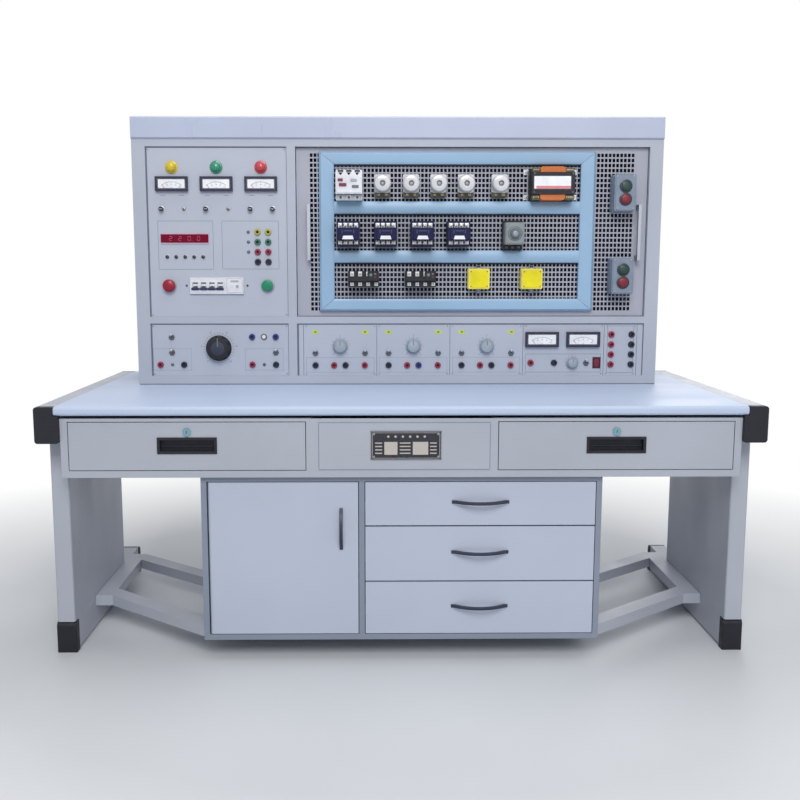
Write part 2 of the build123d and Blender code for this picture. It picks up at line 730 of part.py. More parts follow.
def drawer_lock(side):
    """Lock barrel with a flange and a key slot."""
    x = side * PULL_X
    z = PULL_Z + LOCK_LIFT
    flange_back = APRON_FACE - KNOB_LIFT
    with BuildPart() as lock:
        pegs([(x, z)], (flange_back - LOCK_FLANGE, flange_back), LOCK_FLANGE_RADIUS)
        pegs([(x, z)], (flange_back, APRON_FACE + FRONT_THICKNESS + DRAWER_SHEET), LOCK_RADIUS)
        block(
            around(x, KEY_SLOT_WIDTH),
            (flange_back - LOCK_FLANGE, flange_back - LOCK_FLANGE + KEY_SLOT_DEPTH),
            around(z, KEY_SLOT_LENGTH),
            Mode.SUBTRACT,
        )
    return lock


keep(apron_drawer(-1), "apron_drawer_left")
keep(apron_drawer(1), "apron_drawer_right")
keep(drawer_lock(-1), "drawer_lock_left")
keep(drawer_lock(1), "drawer_lock_right")

# Cabinet carcass with a door compartment on the left and a drawer bay on the right
DOOR_BAY = (-CABINET_HALF + CABINET_BOARD, DIVIDER[0])
DRAWER_BAY = (DIVIDER[1], CABINET_HALF - CABINET_BOARD)
TRAY_SPAN = (DRAWER_BAY[0] + RUNNER_THICKNESS, DRAWER_BAY[1] - RUNNER_THICKNESS)
HINGE_X = DOOR_BAY[0] + DOOR_GAP + FRONT_THICKNESS / 2
HINGE_Y = CABINET_FACE + FRONT_THICKNESS / 2
SHELF_TOP = CABINET_FLOOR + SHELF_HEIGHT
with BuildPart() as cabinet_carcass:
    block((-CABINET_HALF, CABINET_HALF), (CABINET_FACE, CABINET_REAR), (CABINET_LIFT, CABINET_CEILING))
    for bay in (DOOR_BAY, DRAWER_BAY):
        depths = (CABINET_FACE, CABINET_REAR - CABINET_BACK)
        block(bay, depths, (CABINET_FLOOR, CABINET_CEILING), Mode.SUBTRACT)
    block(
        DOOR_BAY,
        (CABINET_FACE + SHELF_SETBACK, CABINET_REAR - CABINET_BACK),
        (SHELF_TOP - CABINET_BOARD, SHELF_TOP),
    )
    upright_peg(HINGE_X, HINGE_Y, (CABINET_FLOOR, CABINET_FLOOR + HINGE_PIN_LENGTH), HINGE_PIN_RADIUS)

# Top board of the carcass, which carries the upper pivot pin of the door
with BuildPart() as cabinet_top:
    block((-CABINET_HALF, CABINET_HALF), (CABINET_FACE, CABINET_REAR), (CABINET_CEILING, CABINET_TOP))
    upright_peg(HINGE_X, HINGE_Y, (CABINET_CEILING - HINGE_PIN_LENGTH, CABINET_CEILING), HINGE_PIN_RADIUS)
keep_together((cabinet_carcass, cabinet_top), "cabinet_carcass")

# Cabinet door on two pivot pins, with its hinge edge rounded about them
DOOR_FREE_EDGE = DOOR_BAY[1] - DOOR_GAP
DOOR_HEIGHTS = (CABINET_FLOOR + DOOR_GAP, CABINET_CEILING - DOOR_GAP)
DOOR_BOW_Z = (DOOR_HEIGHTS[0] + DOOR_HEIGHTS[1]) / 2 + DOOR_BOW_LIFT
DOOR_BOW_PLACE = (DOOR_FREE_EDGE - DOOR_BOW_INSET, CABINET_FACE - SEAT_GAP, DOOR_BOW_Z)
door_bow = bow_handle(DOOR_BOW_PLACE, Vector(0, 0, 1), DOOR_BOW_LENGTH)
with BuildPart() as cabinet_door:
    block((HINGE_X, DOOR_FREE_EDGE), (CABINET_FACE, CABINET_FACE + FRONT_THICKNESS), DOOR_HEIGHTS)
    upright_peg(HINGE_X, HINGE_Y, DOOR_HEIGHTS, FRONT_THICKNESS / 2)
    for ends in (
        (CABINET_FLOOR, CABINET_FLOOR + HINGE_PIN_LENGTH + DOOR_GAP),
        (CABINET_CEILING - HINGE_PIN_LENGTH - DOOR_GAP, CABINET_CEILING),
    ):
        upright_peg(HINGE_X, HINGE_Y, ends, HINGE_PIN_RADIUS + SHAFT_GAP, Mode.SUBTRACT)
    add(door_bow)
keep(cabinet_door, "cabinet_door")


def cabinet_drawer(heights):
    """Drawer of the cabinet whose front spans the given heights."""
    middle = (DRAWER_BAY[0] + DRAWER_BAY[1]) / 2
    skin = CABINET_FACE + FRONT_THICKNESS
    body = (TRAY_SPAN[0] + SLIDE_GAP, TRAY_SPAN[1] - SLIDE_GAP)
    bow_place = (middle, CABINET_FACE - SEAT_GAP, (heights[0] + heights[1] + BOW_WIDTH) / 2)
    bow = bow_handle(bow_place, Vector(1, 0, 0), BOW_LENGTH)
    with BuildPart() as drawer:
        block((DRAWER_BAY[0] + DOOR_GAP, DRAWER_BAY[1] - DOOR_GAP), (CABINET_FACE, skin), heights)
        tray(body, (skin, skin + CABINET_TRAY_DEPTH), (heights[0], heights[1] - CABINET_TRAY_DROP))
        add(bow)
    return drawer


DRAWER_HEIGHTS = (
    (CABINET_FLOOR + DOOR_GAP, CABINET_DRAWER_SPLITS[0] - DOOR_GAP),
    (CABINET_DRAWER_SPLITS[0] + DOOR_GAP, CABINET_DRAWER_SPLITS[1] - DOOR_GAP),
    (CABINET_DRAWER_SPLITS[1] + DOOR_GAP, CABINET_CEILING - DOOR_GAP),
)
for level, heights in zip(("bottom", "middle", "top"), DRAWER_HEIGHTS):
    keep(cabinet_drawer(heights), f"cabinet_drawer_{level}")


def runner_pair(walls, span, z, start, length):
    """Two guide rails that fill the gaps between the walls of a bay and the tray's span."""
    for x in ((walls[0], span[0]), (span[1], walls[1])):
        block(x, (start, start + length), around(z, RUNNER_HEIGHT))


# Guide rails of the five drawers and of the perforated board
BOARD_X = (RIGHT_LOW + BOARD_GAP, RIGHT_HIGH - BOARD_GAP)
BOARD_Z = (UPPER_LOW + BOARD_GAP, UPPER_HIGH - BOARD_GAP)
PARTITION_X = (MULLION_OFFSET - CONSOLE_SHEET / 2, MULLION_OFFSET + CONSOLE_SHEET / 2)
with BuildPart() as slide_rails:
    for side in (-1, 1):
        runner_pair(
            sorted((side * BAY_WALL, side * (BEAM_INNER - APRON_SHEET))),
            sorted((side * BAY_INNER, side * BAY_OUTER)),
            BAY_LOW + APRON_TRAY_HEIGHT / 2,
            APRON_FACE + RUNNER_SETBACK,
            APRON_TRAY_DEPTH,
        )
    for heights in DRAWER_HEIGHTS:
        runner_pair(
            DRAWER_BAY,
            TRAY_SPAN,
            (heights[0] + heights[1] - CABINET_TRAY_DROP) / 2,
            CABINET_FACE + RUNNER_SETBACK,
            CABINET_TRAY_DEPTH,
        )
    for lift in BOARD_RAIL_LIFTS:
        depths = (CONSOLE_FACE + FRAME_DEPTH, CONSOLE_FACE + FRAME_DEPTH + BOARD_CHEEK)
        heights = around(UPPER_LOW + lift, BOARD_RAIL_HEIGHT)
        block((PARTITION_X[1], BOARD_X[0] - SLIDE_GAP), depths, heights)
        block((BOARD_X[1] + SLIDE_GAP, CONSOLE_HALF - CONSOLE_SHEET), depths, heights)
keep(slide_rails, "slide_rails")


def footrest_outline(side, wall=0):
    """Plan of a footrest frame: two slanted rails from the cabinet to a tube along the foot beam."""
    near = CABINET_HALF
    far = FOOT_INNER - wall
    knee = FOOT_INNER - FOOTREST_SIDE + wall
    start = FRONT_Y + FOOTREST_SETBACK + wall
    span = FOOTREST_SPAN - 2 * wall
    rail = FOOTREST_RAIL - 2 * wall
    points = [
        (near, start),
        (knee, start + FOOTREST_SKEW),
        (far, start + FOOTREST_SKEW),
        (far, start + FOOTREST_SKEW + span),
        (knee, start + FOOTREST_SKEW + span),
        (near, start + span),
        (near, start + span - rail),
        (knee, start + FOOTREST_SKEW + span - rail),
        (knee, start + FOOTREST_SKEW + rail),
        (near, start + rail),
    ]
    return [(side * x, y) for x, y in points]


# Footrest frames of rectangular tube, open where they meet the cabinet
with BuildPart() as footrest_frames:
    for side in (-1, 1):
        with BuildSketch(Plane.XY.offset(FOOTREST_LIFT)):
            with BuildLine():
                Polyline(*footrest_outline(side), close=True)
            make_face()
        extrude(amount=FOOTREST_HEIGHT)
    for side in (-1, 1):
        with BuildSketch(Plane.XY.offset(FOOTREST_LIFT + FOOTREST_WALL)):
            with BuildLine():
                Polyline(*footrest_outline(side, FOOTREST_WALL), close=True)
            make_face()
        extrude(amount=FOOTREST_HEIGHT - 2 * FOOTREST_WALL, mode=Mode.SUBTRACT)
keep(footrest_frames, "footrest_frames")

# Console shell: wrapped sheet with a partition, a shelf and open front and rear
SHELL_Y = (CONSOLE_FACE + FRAME_DEPTH, CONSOLE_REAR)
SHELF_Z = (UPPER_LOW - CONSOLE_SHEET - MID_RAIL / 2, UPPER_LOW - MID_RAIL / 2)
INNER_X = (-CONSOLE_HALF + CONSOLE_SHEET, CONSOLE_HALF - CONSOLE_SHEET)
INNER_Z = (CONSOLE_BOTTOM + CONSOLE_SHEET, CONSOLE_TOP - CONSOLE_SHEET)
with BuildPart() as console_shell:
    block((-CONSOLE_HALF, CONSOLE_HALF), SHELL_Y, (CONSOLE_BOTTOM, CONSOLE_TOP))
    block(INNER_X, SHELL_Y, INNER_Z, Mode.SUBTRACT)
    block(PARTITION_X, SHELL_Y, INNER_Z)
    block(INNER_X, SHELL_Y, SHELF_Z)
keep(console_shell, "console_shell")


def frame_openings(growth, mode):
    """The four openings of the console's front frame, each grown on every side."""
    for x, z in (
        ((LEFT_LOW, LEFT_HIGH), (UPPER_LOW, UPPER_HIGH)),
        ((RIGHT_LOW, RIGHT_HIGH), (UPPER_LOW, UPPER_HIGH)),
        ((LEFT_LOW, LEFT_HIGH), (LOWER_LOW, LOWER_HIGH)),
        ((RIGHT_LOW, RIGHT_HIGH), (LOWER_LOW, LOWER_HIGH)),
    ):
        window((x[0] - growth, x[1] + growth), (z[0] - growth, z[1] + growth), mode)


# Front frame of the console: folded members, hollow from behind
with BuildPart() as console_front_frame:
    with BuildSketch(facing(SHELL_Y[0])):
        window((-CONSOLE_HALF, CONSOLE_HALF), (CONSOLE_BOTTOM, CONSOLE_TOP))
        frame_openings(0, Mode.SUBTRACT)
    extrude(amount=FRAME_DEPTH)
    with BuildSketch(facing(SHELL_Y[0])):
        window(
            (-CONSOLE_HALF + FRAME_SKIN, CONSOLE_HALF - FRAME_SKIN),
            (CONSOLE_BOTTOM + FRAME_SKIN, CONSOLE_TOP - FRAME_SKIN),
        )
        frame_openings(FRAME_SKIN, Mode.SUBTRACT)
    extrude(amount=FRAME_DEPTH - FRAME_SKIN, mode=Mode.SUBTRACT)
keep(console_front_frame, "console_front_frame")

# Plain header board across the top of the console
with BuildPart() as header_fascia:
    block(
        (-CONSOLE_HALF, CONSOLE_HALF),
        (CONSOLE_FACE - HEADER_PROUD, CONSOLE_FACE),
        (CONSOLE_TOP - HEADER_HEIGHT, CONSOLE_TOP),
    )
    chamfer(header_fascia.faces().sort_by(Axis.Y)[0].edges().filter_by(Axis.X), HEADER_EDGE)
keep(header_fascia, "header_fascia")

# Rear cover with rows of vent slots and a cut-out for the mains inlet
with BuildPart() as rear_cover:
    with BuildSketch(facing(CONSOLE_REAR + CONSOLE_SHEET)):
        window((-CONSOLE_HALF, CONSOLE_HALF), (CONSOLE_BOTTOM, CONSOLE_TOP))
        with Locations((0, CONSOLE_TOP - VENT_HEIGHT_FROM_TOP)):
            with GridLocations(VENT_PITCH_X, VENT_PITCH_Z, VENT_COUNT, VENT_ROWS):
                SlotOverall(VENT_WIDTH, VENT_HEIGHT, mode=Mode.SUBTRACT)
        window(around(INLET_X, INLET_SIZE[0]), around(INLET_Z, INLET_SIZE[1]), Mode.SUBTRACT)
    extrude(amount=CONSOLE_SHEET)
keep(rear_cover, "rear_cover")

# Mains inlet in the rear cover: a flanged cup with three contact pins
COVER_BACK = CONSOLE_REAR + CONSOLE_SHEET
with BuildPart() as mains_inlet:
    block(
        around(INLET_X, INLET_SIZE[0] + 2 * INLET_FLANGE),
        (COVER_BACK, COVER_BACK + INLET_PROUD),
        around(INLET_Z, INLET_SIZE[1] + 2 * INLET_FLANGE),
    )
    block(
        around(INLET_X, INLET_SIZE[0]),
        (COVER_BACK - INLET_DEPTH, COVER_BACK),
        around(INLET_Z, INLET_SIZE[1]),
    )
    block(
        around(INLET_X, INLET_SIZE[0] - 2 * INLET_WALL),
        (COVER_BACK - INLET_DEPTH + INLET_WALL, COVER_BACK + INLET_PROUD),
        around(INLET_Z, INLET_SIZE[1] - 2 * INLET_WALL),
        Mode.SUBTRACT,
    )
    for step in (-1, 0, 1):
        block(
            around(INLET_X + step * CONTACT_PITCH, CONTACT_SIZE[0]),
            (COVER_BACK - INLET_DEPTH + INLET_WALL, COVER_BACK - INLET_WALL),
            around(INLET_Z, CONTACT_SIZE[1]),
        )
keep(mains_inlet, "mains_inlet")

# Places of the repeated fittings on the panels
LAMP_POINTS = [(LEFT_MIDDLE + step * COLUMN_PITCH, LAMP_HEIGHT) for step in (-1, 0, 1)]
METER_POINTS = [(LEFT_MIDDLE + step * COLUMN_PITCH, METER_HEIGHT) for step in (-1, 0, 1)]
HOLDER_POINTS = [
    (LEFT_MIDDLE + (step - (FUSE_ROW_COUNT - 1) / 2) * FUSE_ROW_PITCH, FUSE_ROW_HEIGHT)
    for step in range(FUSE_ROW_COUNT)
]
DISPLAY_X = LEFT_MIDDLE + DISPLAY_OFFSET
KEY_POINTS = [
    (DISPLAY_X + (step - (KEY_COUNT - 1) / 2) * KEY_PITCH, KEY_HEIGHT) for step in range(KEY_COUNT)
]
POWER_SOCKET_POINTS = [
    (LEFT_MIDDLE + SOCKET_OFFSET + side * SOCKET_SPREAD, SOCKET_TOP - row * SOCKET_PITCH)
    for side in (-1, 1)
    for row in range(SOCKET_ROWS)
]
POWER_LAMP_POINTS = [
    (LEFT_MIDDLE + SOCKET_LAMP_OFFSET, SOCKET_TOP - row * SOCKET_PITCH) for row in range(SOCKET_ROWS - 1)
]
STOP_POINT = (LEFT_MIDDLE - BUTTON_SPREAD, BUTTON_HEIGHT)
START_POINT = (LEFT_MIDDLE + BUTTON_SPREAD, BUTTON_HEIGHT)
GROUP_XS = [LEFT_MIDDLE + offset for offset in SIDE_GROUP_OFFSETS]
SIDE_SOCKET_POINTS = [(x + side * SIDE_SPREAD, SIDE_SOCKET_HEIGHT) for x in GROUP_XS for side in (-1, 1)]
SIDE_SOCKET_POINTS += [(GROUP_XS[1] + side * SIDE_SPREAD, SIDE_TOP_HEIGHT) for side in (-1, 1)]
SIDE_LAMP_POINTS = [(x, SIDE_SOCKET_HEIGHT) for x in GROUP_XS]
SIDE_LAMP_POINTS += [(GROUP_XS[1], SIDE_TOP_HEIGHT)]
SIDE_SWITCH_POINTS = [
    (GROUP_XS[0], SIDE_TOP_HEIGHT),
    (GROUP_XS[0], SIDE_SWITCH_HEIGHT),
    (GROUP_XS[1] + SIDE_SPREAD, SIDE_SWITCH_HEIGHT),
]
REGULATOR_POINT = (LEFT_MIDDLE + REGULATOR_OFFSET, REGULATOR_HEIGHT)
MODULE_XS = [MODULE_LOW + (step + 1 / 2) * MODULE_WIDTH for step in range(MODULE_COUNT)]
MODULE_SOCKET_POINTS = [(x + offset, MODULE_SOCKET_LEVEL) for x in MODULE_XS for offset in MODULE_SOCKET_XS]
MODULE_SWITCH_POINTS = [
    (x + side * MODULE_SWITCH_SPREAD, MODULE_SWITCH_LEVEL) for x in MODULE_XS for side in (-1, 1)
]
OUTPUT_METER_XS = [OUTPUT_MIDDLE + OUTPUT_METER_SHIFT + side * OUTPUT_METER_SPREAD for side in (-1, 1)]
OUTPUT_METER_POINTS = [(x, OUTPUT_METER_LEVEL) for x in OUTPUT_METER_XS]
OUTPUT_SOCKET_POINTS = [(OUTPUT_MIDDLE + offset, OUTPUT_CONTROL_LEVEL) for offset in OUTPUT_SOCKET_XS]
OUTPUT_SWITCH_POINTS = [(OUTPUT_MIDDLE + OUTPUT_SWITCH_X, OUTPUT_CONTROL_LEVEL)]
OUTPUT_KNOB_POINT = (OUTPUT_MIDDLE + OUTPUT_KNOB_X, OUTPUT_CONTROL_LEVEL)
ROCKER_POINT = (OUTPUT_MIDDLE + ROCKER_X, OUTPUT_CONTROL_LEVEL)
OUTLET_POINTS = [
    (OUTLET_MIDDLE + side * OUTLET_SPREAD, OUTLET_TOP - row * OUTLET_PITCH)
    for side in (-1, 1)
    for row in range(OUTLET_ROWS)
]


def round_holes(points, radius):
    """Round holes through a panel sketch."""
    with Locations(*points):
        Circle(radius, mode=Mode.SUBTRACT)


def square_holes(points, size):
    """Rectangular holes through a panel sketch."""
    with Locations(*points):
        Rectangle(*size, mode=Mode.SUBTRACT)


# Power panel and regulator panel in the two left openings
with BuildPart() as power_panels:
    with BuildSketch(facing(PANEL_BACK)):
        window((LEFT_LOW, LEFT_HIGH), (UPPER_LOW, UPPER_HIGH))
        round_holes(LAMP_POINTS, LAMP_RADIUS)
        square_holes(METER_POINTS, METER_BODY)
        round_holes(HOLDER_POINTS, SOCKET_BODY_RADIUS)
        square_holes([(DISPLAY_X, DISPLAY_HEIGHT)], DISPLAY_SIZE)
        round_holes(KEY_POINTS, KEY_STEM_RADIUS)
        round_holes(POWER_SOCKET_POINTS, SOCKET_BODY_RADIUS)
        round_holes(POWER_LAMP_POINTS, SMALL_LAMP_RADIUS)
        round_holes([STOP_POINT, START_POINT], BUTTON_STEM_RADIUS + SHAFT_GAP)
        square_holes([(BREAKER_X, BUTTON_HEIGHT)], BREAKER_WINDOW)
        window((LEFT_LOW, LEFT_HIGH), (LOWER_LOW, LOWER_HIGH))
        round_holes(SIDE_SOCKET_POINTS, SOCKET_BODY_RADIUS)
        round_holes(SIDE_LAMP_POINTS, SMALL_LAMP_RADIUS)
        round_holes(SIDE_SWITCH_POINTS, SOCKET_BODY_RADIUS)
        round_holes([REGULATOR_POINT], KNOB_SHAFT_RADIUS + SHAFT_GAP)
    extrude(amount=PANEL_SHEET)
keep(power_panels, "power_panels")

# Module panels in the lower right opening: three alike, output and outlet panels, and a filler at each end
MODULE_EDGES = [MODULE_LOW + step * MODULE_WIDTH for step in range(MODULE_COUNT + 1)]
MODULE_EDGES = [RIGHT_LOW] + MODULE_EDGES
MODULE_EDGES += [OUTPUT_LOW + OUTPUT_WIDTH, RIGHT_HIGH - MODULE_MARGIN, RIGHT_HIGH]
with BuildPart() as module_panels:
    with BuildSketch(facing(PANEL_BACK)):
        for low, high in zip(MODULE_EDGES[:-1], MODULE_EDGES[1:]):
            window((low + MODULE_JOINT / 2, high - MODULE_JOINT / 2), (LOWER_LOW, LOWER_HIGH))
        round_holes(MODULE_SOCKET_POINTS + OUTPUT_SOCKET_POINTS + OUTLET_POINTS, SOCKET_BODY_RADIUS)
        round_holes(MODULE_SWITCH_POINTS + OUTPUT_SWITCH_POINTS, SOCKET_BODY_RADIUS)
        round_holes([(x, MODULE_KNOB_LEVEL) for x in MODULE_XS], KNOB_SHAFT_RADIUS + SHAFT_GAP)
        round_holes([OUTPUT_KNOB_POINT], KNOB_SHAFT_RADIUS + SHAFT_GAP)
        square_holes(OUTPUT_METER_POINTS, METER_BODY)
        square_holes([ROCKER_POINT], ROCKER_SIZE)
    extrude(amount=PANEL_SHEET)
keep(module_panels, "module_panels")


def meter(point, face):
    """Panel meter: a framed face in front of the panel and a body behind it."""
    x, z = point
    block(around(x, face[0]), (PANEL_FACE - METER_PROUD, PANEL_FACE), around(z, face[1]))
    block(
        around(x, face[0] - 2 * METER_WALL),
        (PANEL_FACE - METER_PROUD, PANEL_FACE - METER_PROUD + METER_RECESS),
        around(z, face[1] - 2 * METER_WALL),
        Mode.SUBTRACT,
    )
    block(around(x, METER_BODY[0]), (PANEL_FACE, PANEL_BACK + METER_BODY_DEPTH), around(z, METER_BODY[1]))


# Panel meters: three on the power panel and two on the output panel
with BuildPart() as panel_meters:
    for point in METER_POINTS:
        meter(point, METER_FACE)
    for point in OUTPUT_METER_POINTS:
        meter(point, OUTPUT_METER_FACE)
keep(panel_meters, "panel_meters")

# Indicator lamps: three domed pilot lamps and the small panel lamps
with BuildPart() as indicator_lamps:
    pegs(LAMP_POINTS, (PANEL_FACE, PANEL_BACK + METER_BODY_DEPTH), LAMP_RADIUS)
    pegs(LAMP_POINTS, (PANEL_FACE - BEZEL_HEIGHT, PANEL_FACE), LAMP_BEZEL_RADIUS)
    with Locations(*[(x, PANEL_FACE - BEZEL_HEIGHT, z) for x, z in LAMP_POINTS]):
        Sphere(LAMP_RADIUS - LAMP_SHOULDER)
    small_lamps = POWER_LAMP_POINTS + SIDE_LAMP_POINTS
    pegs(small_lamps, (PANEL_FACE - SMALL_LAMP_PROUD, PANEL_BACK + SMALL_LAMP_BODY), SMALL_LAMP_RADIUS)
keep(indicator_lamps, "indicator_lamps")

# Socket terminals for safety plugs
SOCKET_POINTS = POWER_SOCKET_POINTS + SIDE_SOCKET_POINTS
SOCKET_POINTS += MODULE_SOCKET_POINTS + OUTPUT_SOCKET_POINTS + OUTLET_POINTS
SOCKET_FACE = PANEL_FACE - SOCKET_PROUD
with BuildPart() as socket_terminals:
    pegs(SOCKET_POINTS, (SOCKET_FACE, PANEL_FACE), SOCKET_RADIUS)
    pegs(SOCKET_POINTS, (PANEL_FACE, PANEL_BACK + SOCKET_BODY), SOCKET_BODY_RADIUS)
    pegs(SOCKET_POINTS, (SOCKET_FACE, SOCKET_FACE + SOCKET_BORE_DEPTH), SOCKET_BORE, Mode.SUBTRACT)
keep(socket_terminals, "socket_terminals")

# Digital display and its row of keys
with BuildPart() as display_unit:
    block(
        around(DISPLAY_X, DISPLAY_SIZE[0] + 2 * DISPLAY_BORDER),
        (PANEL_FACE - DISPLAY_PROUD, PANEL_FACE),
        around(DISPLAY_HEIGHT, DISPLAY_SIZE[1] + 2 * DISPLAY_BORDER),
    )
    block(
        around(DISPLAY_X, DISPLAY_SIZE[0]),
        (PANEL_FACE, PANEL_BACK + DISPLAY_BODY_DEPTH),
        around(DISPLAY_HEIGHT, DISPLAY_SIZE[1]),
    )
    block(
        around(DISPLAY_X, DISPLAY_SIZE[0]),
        (PANEL_FACE - DISPLAY_PROUD, PANEL_FACE - DISPLAY_PROUD + DISPLAY_RECESS),
        around(DISPLAY_HEIGHT, DISPLAY_SIZE[1]),
        Mode.SUBTRACT,
    )
    pegs(KEY_POINTS, (PANEL_FACE - KEY_PROUD, PANEL_FACE), KEY_RADIUS)
    pegs(KEY_POINTS, (PANEL_FACE, PANEL_BACK + SMALL_LAMP_BODY), KEY_STEM_RADIUS)
keep(display_unit, "display_unit")

# Fuse holders and button bezels of the power panel, and lever switches of the lower panels
SWITCH_POINTS = SIDE_SWITCH_POINTS + MODULE_SWITCH_POINTS + OUTPUT_SWITCH_POINTS
COLLAR_FACE = PANEL_FACE - SWITCH_COLLAR
BEZEL_DEPTHS = (PANEL_FACE - BEZEL_HEIGHT, PANEL_FACE)
with BuildPart() as panel_switches:
    pegs(HOLDER_POINTS, (PANEL_FACE - HOLDER_PROUD, PANEL_FACE), HOLDER_RADIUS)
    pegs(SWITCH_POINTS, (COLLAR_FACE, PANEL_FACE), SWITCH_COLLAR_RADIUS)
    pegs(SWITCH_POINTS, (COLLAR_FACE - SWITCH_LEVER, COLLAR_FACE), SWITCH_LEVER_RADIUS)
    pegs(HOLDER_POINTS + SWITCH_POINTS, (PANEL_FACE, PANEL_BACK + SWITCH_BODY), SOCKET_BODY_RADIUS)
    pegs([STOP_POINT, START_POINT], BEZEL_DEPTHS, BEZEL_RADIUS)
    pegs([STOP_POINT, START_POINT], BEZEL_DEPTHS, BUTTON_STEM_RADIUS + SHAFT_GAP, Mode.SUBTRACT)
keep(panel_switches, "panel_switches")

# Circuit breaker behind the power panel, with its nose through the window and a bay for the levers
NOSE_FACE = PANEL_FACE - BREAKER_NOSE
LEVER_X = BREAKER_X + LEVER_BAY_OFFSET
LEVER_AXIS_Y = NOSE_FACE + LEVER_BAY_DEPTH - LEVER_DRUM_RADIUS - SLIDE_GAP
with BuildPart() as circuit_breaker:
    block(
        around(BREAKER_X, BREAKER_BODY[0]),
        (PANEL_BACK, PANEL_BACK + BREAKER_BODY_DEPTH),
        around(BUTTON_HEIGHT, BREAKER_BODY[1]),
    )
    block(
        around(BREAKER_X, BREAKER_WINDOW[0] - SLIDE_GAP),
        (NOSE_FACE, PANEL_BACK),
        around(BUTTON_HEIGHT, BREAKER_WINDOW[1] - SLIDE_GAP),
    )
    block(
        around(LEVER_X, LEVER_BAY[0]),
        (NOSE_FACE, NOSE_FACE + LEVER_BAY_DEPTH),
        around(BUTTON_HEIGHT, LEVER_BAY[1]),
        Mode.SUBTRACT,
    )
    block(
        around(BREAKER_X + TEST_KEY_OFFSET, TEST_KEY[0]),
        (NOSE_FACE - TEST_KEY[2], NOSE_FACE),
        around(BUTTON_HEIGHT, TEST_KEY[1]),
    )
keep(circuit_breaker, "circuit_breaker")

# Ganged breaker levers on one drum, at rest in the lower position
lever_axis = Location((LEVER_X, LEVER_AXIS_Y, BUTTON_HEIGHT), (LEVER_ANGLE, 0, 0))
with BuildPart() as breaker_levers:
    with Locations(lever_axis * Location((0, 0, 0), (0, 90, 0))):
        Cylinder(LEVER_DRUM_RADIUS, LEVER_BAY[0] - 2 * SLIDE_GAP)
    for step in range(LEVER_COUNT):
        offset = (step - (LEVER_COUNT - 1) / 2) * LEVER_PITCH
        with Locations(lever_axis * Location((offset, -LEVER_REACH / 2, 0))):
            Box(LEVER_TAB, LEVER_REACH, LEVER_THICKNESS)
    with Locations(lever_axis * Location((0, LEVER_BAR / 2 - LEVER_REACH, 0))):
        Box((LEVER_COUNT - 1) * LEVER_PITCH + LEVER_TAB, LEVER_BAR, LEVER_THICKNESS)
keep(breaker_levers, "breaker_levers")


def push_button(point, face, radius, head, edge):
    """Round push button with its head clear of the surface by its travel."""
    lift = face - BEZEL_HEIGHT - BUTTON_TRAVEL - KNOB_LIFT
    with BuildPart() as button:
        pegs([point], (lift - head, lift), radius)
        fillet(button.faces().sort_by(Axis.Y)[0].edges(), edge)
        pegs([point], (lift, face + BUTTON_STEM), BUTTON_STEM_RADIUS)
    return button


def turning_knob(point, radius, height, skirt, y=PANEL_FACE, shaft=KNOB_SHAFT):
    """Turning knob with a skirt, a tapered grip, a pointer line and a shaft through the panel."""
    x, z = point
    back = y - KNOB_LIFT
    with BuildPart() as knob:
        pegs([point], (back - skirt, back), radius)
        with BuildSketch(facing(back - skirt)):
            with Locations((x, z)):
                Circle(radius - KNOB_SHOULDER)
        extrude(amount=height - skirt, taper=KNOB_TAPER)
        block(
            around(x, POINTER_WIDTH),
            (back - height, back - height + POINTER_DEPTH),
            (z, z + radius - 2 * KNOB_SHOULDER),
            Mode.SUBTRACT,
        )
        pegs([point], (back, y + shaft), KNOB_SHAFT_RADIUS)
    return knob


# Main stop and start buttons of the power panel
keep(push_button(STOP_POINT, PANEL_FACE, STOP_RADIUS, STOP_HEAD, STOP_EDGE), "stop_button")
keep(push_button(START_POINT, PANEL_FACE, START_RADIUS, START_HEAD, START_EDGE), "start_button")

# Turning knobs
keep(turning_knob(REGULATOR_POINT, BIG_KNOB_RADIUS, BIG_KNOB_HEIGHT, BIG_KNOB_SKIRT), "regulator_knob")
for x, place in zip(MODULE_XS, ("left", "middle", "right")):
    knob = turning_knob((x, MODULE_KNOB_LEVEL), MODULE_KNOB_RADIUS, MODULE_KNOB_HEIGHT, MODULE_KNOB_SKIRT)
    keep(knob, f"module_knob_{place}")
keep(turning_knob(OUTPUT_KNOB_POINT, SMALL_KNOB_RADIUS, SMALL_KNOB_HEIGHT, SMALL_KNOB_SKIRT), "output_knob")

# Rocker switch that tips about a pin along X
ROCKER_AXIS_Y = PANEL_FACE + ROCKER_PROUD
rocker_rest = Location((ROCKER_POINT[0], ROCKER_AXIS_Y, ROCKER_POINT[1]), (ROCKER_TILT, 0, 0))
with BuildPart() as rocker_switch:
    with Locations(rocker_rest):
        Box(ROCKER_KEY[0], ROCKER_KEY[2], ROCKER_KEY[1])
    with Locations(rocker_rest * Location((0, 0, 0), (0, 90, 0))):
        Cylinder(ROCKER_PIN_RADIUS, ROCKER_SIZE[0] - 2 * SLIDE_GAP)
keep(rocker_switch, "rocker_switch")

# Regulating transformer behind the regulator panel, on the knob's shaft
with BuildPart() as autotransformer:
    pegs([REGULATOR_POINT], (PANEL_BACK, PANEL_BACK + VARIAC_DEPTH), VARIAC_RADIUS)
    pegs([REGULATOR_POINT], (PANEL_BACK + KNOB_SHAFT, PANEL_BACK + VARIAC_DEPTH), VARIAC_BORE, Mode.SUBTRACT)
    shaft_bore = (PANEL_BACK, PANEL_BACK + KNOB_SHAFT)
    pegs([REGULATOR_POINT], shaft_bore, KNOB_SHAFT_RADIUS + SHAFT_GAP, Mode.SUBTRACT)
keep(autotransformer, "autotransformer")

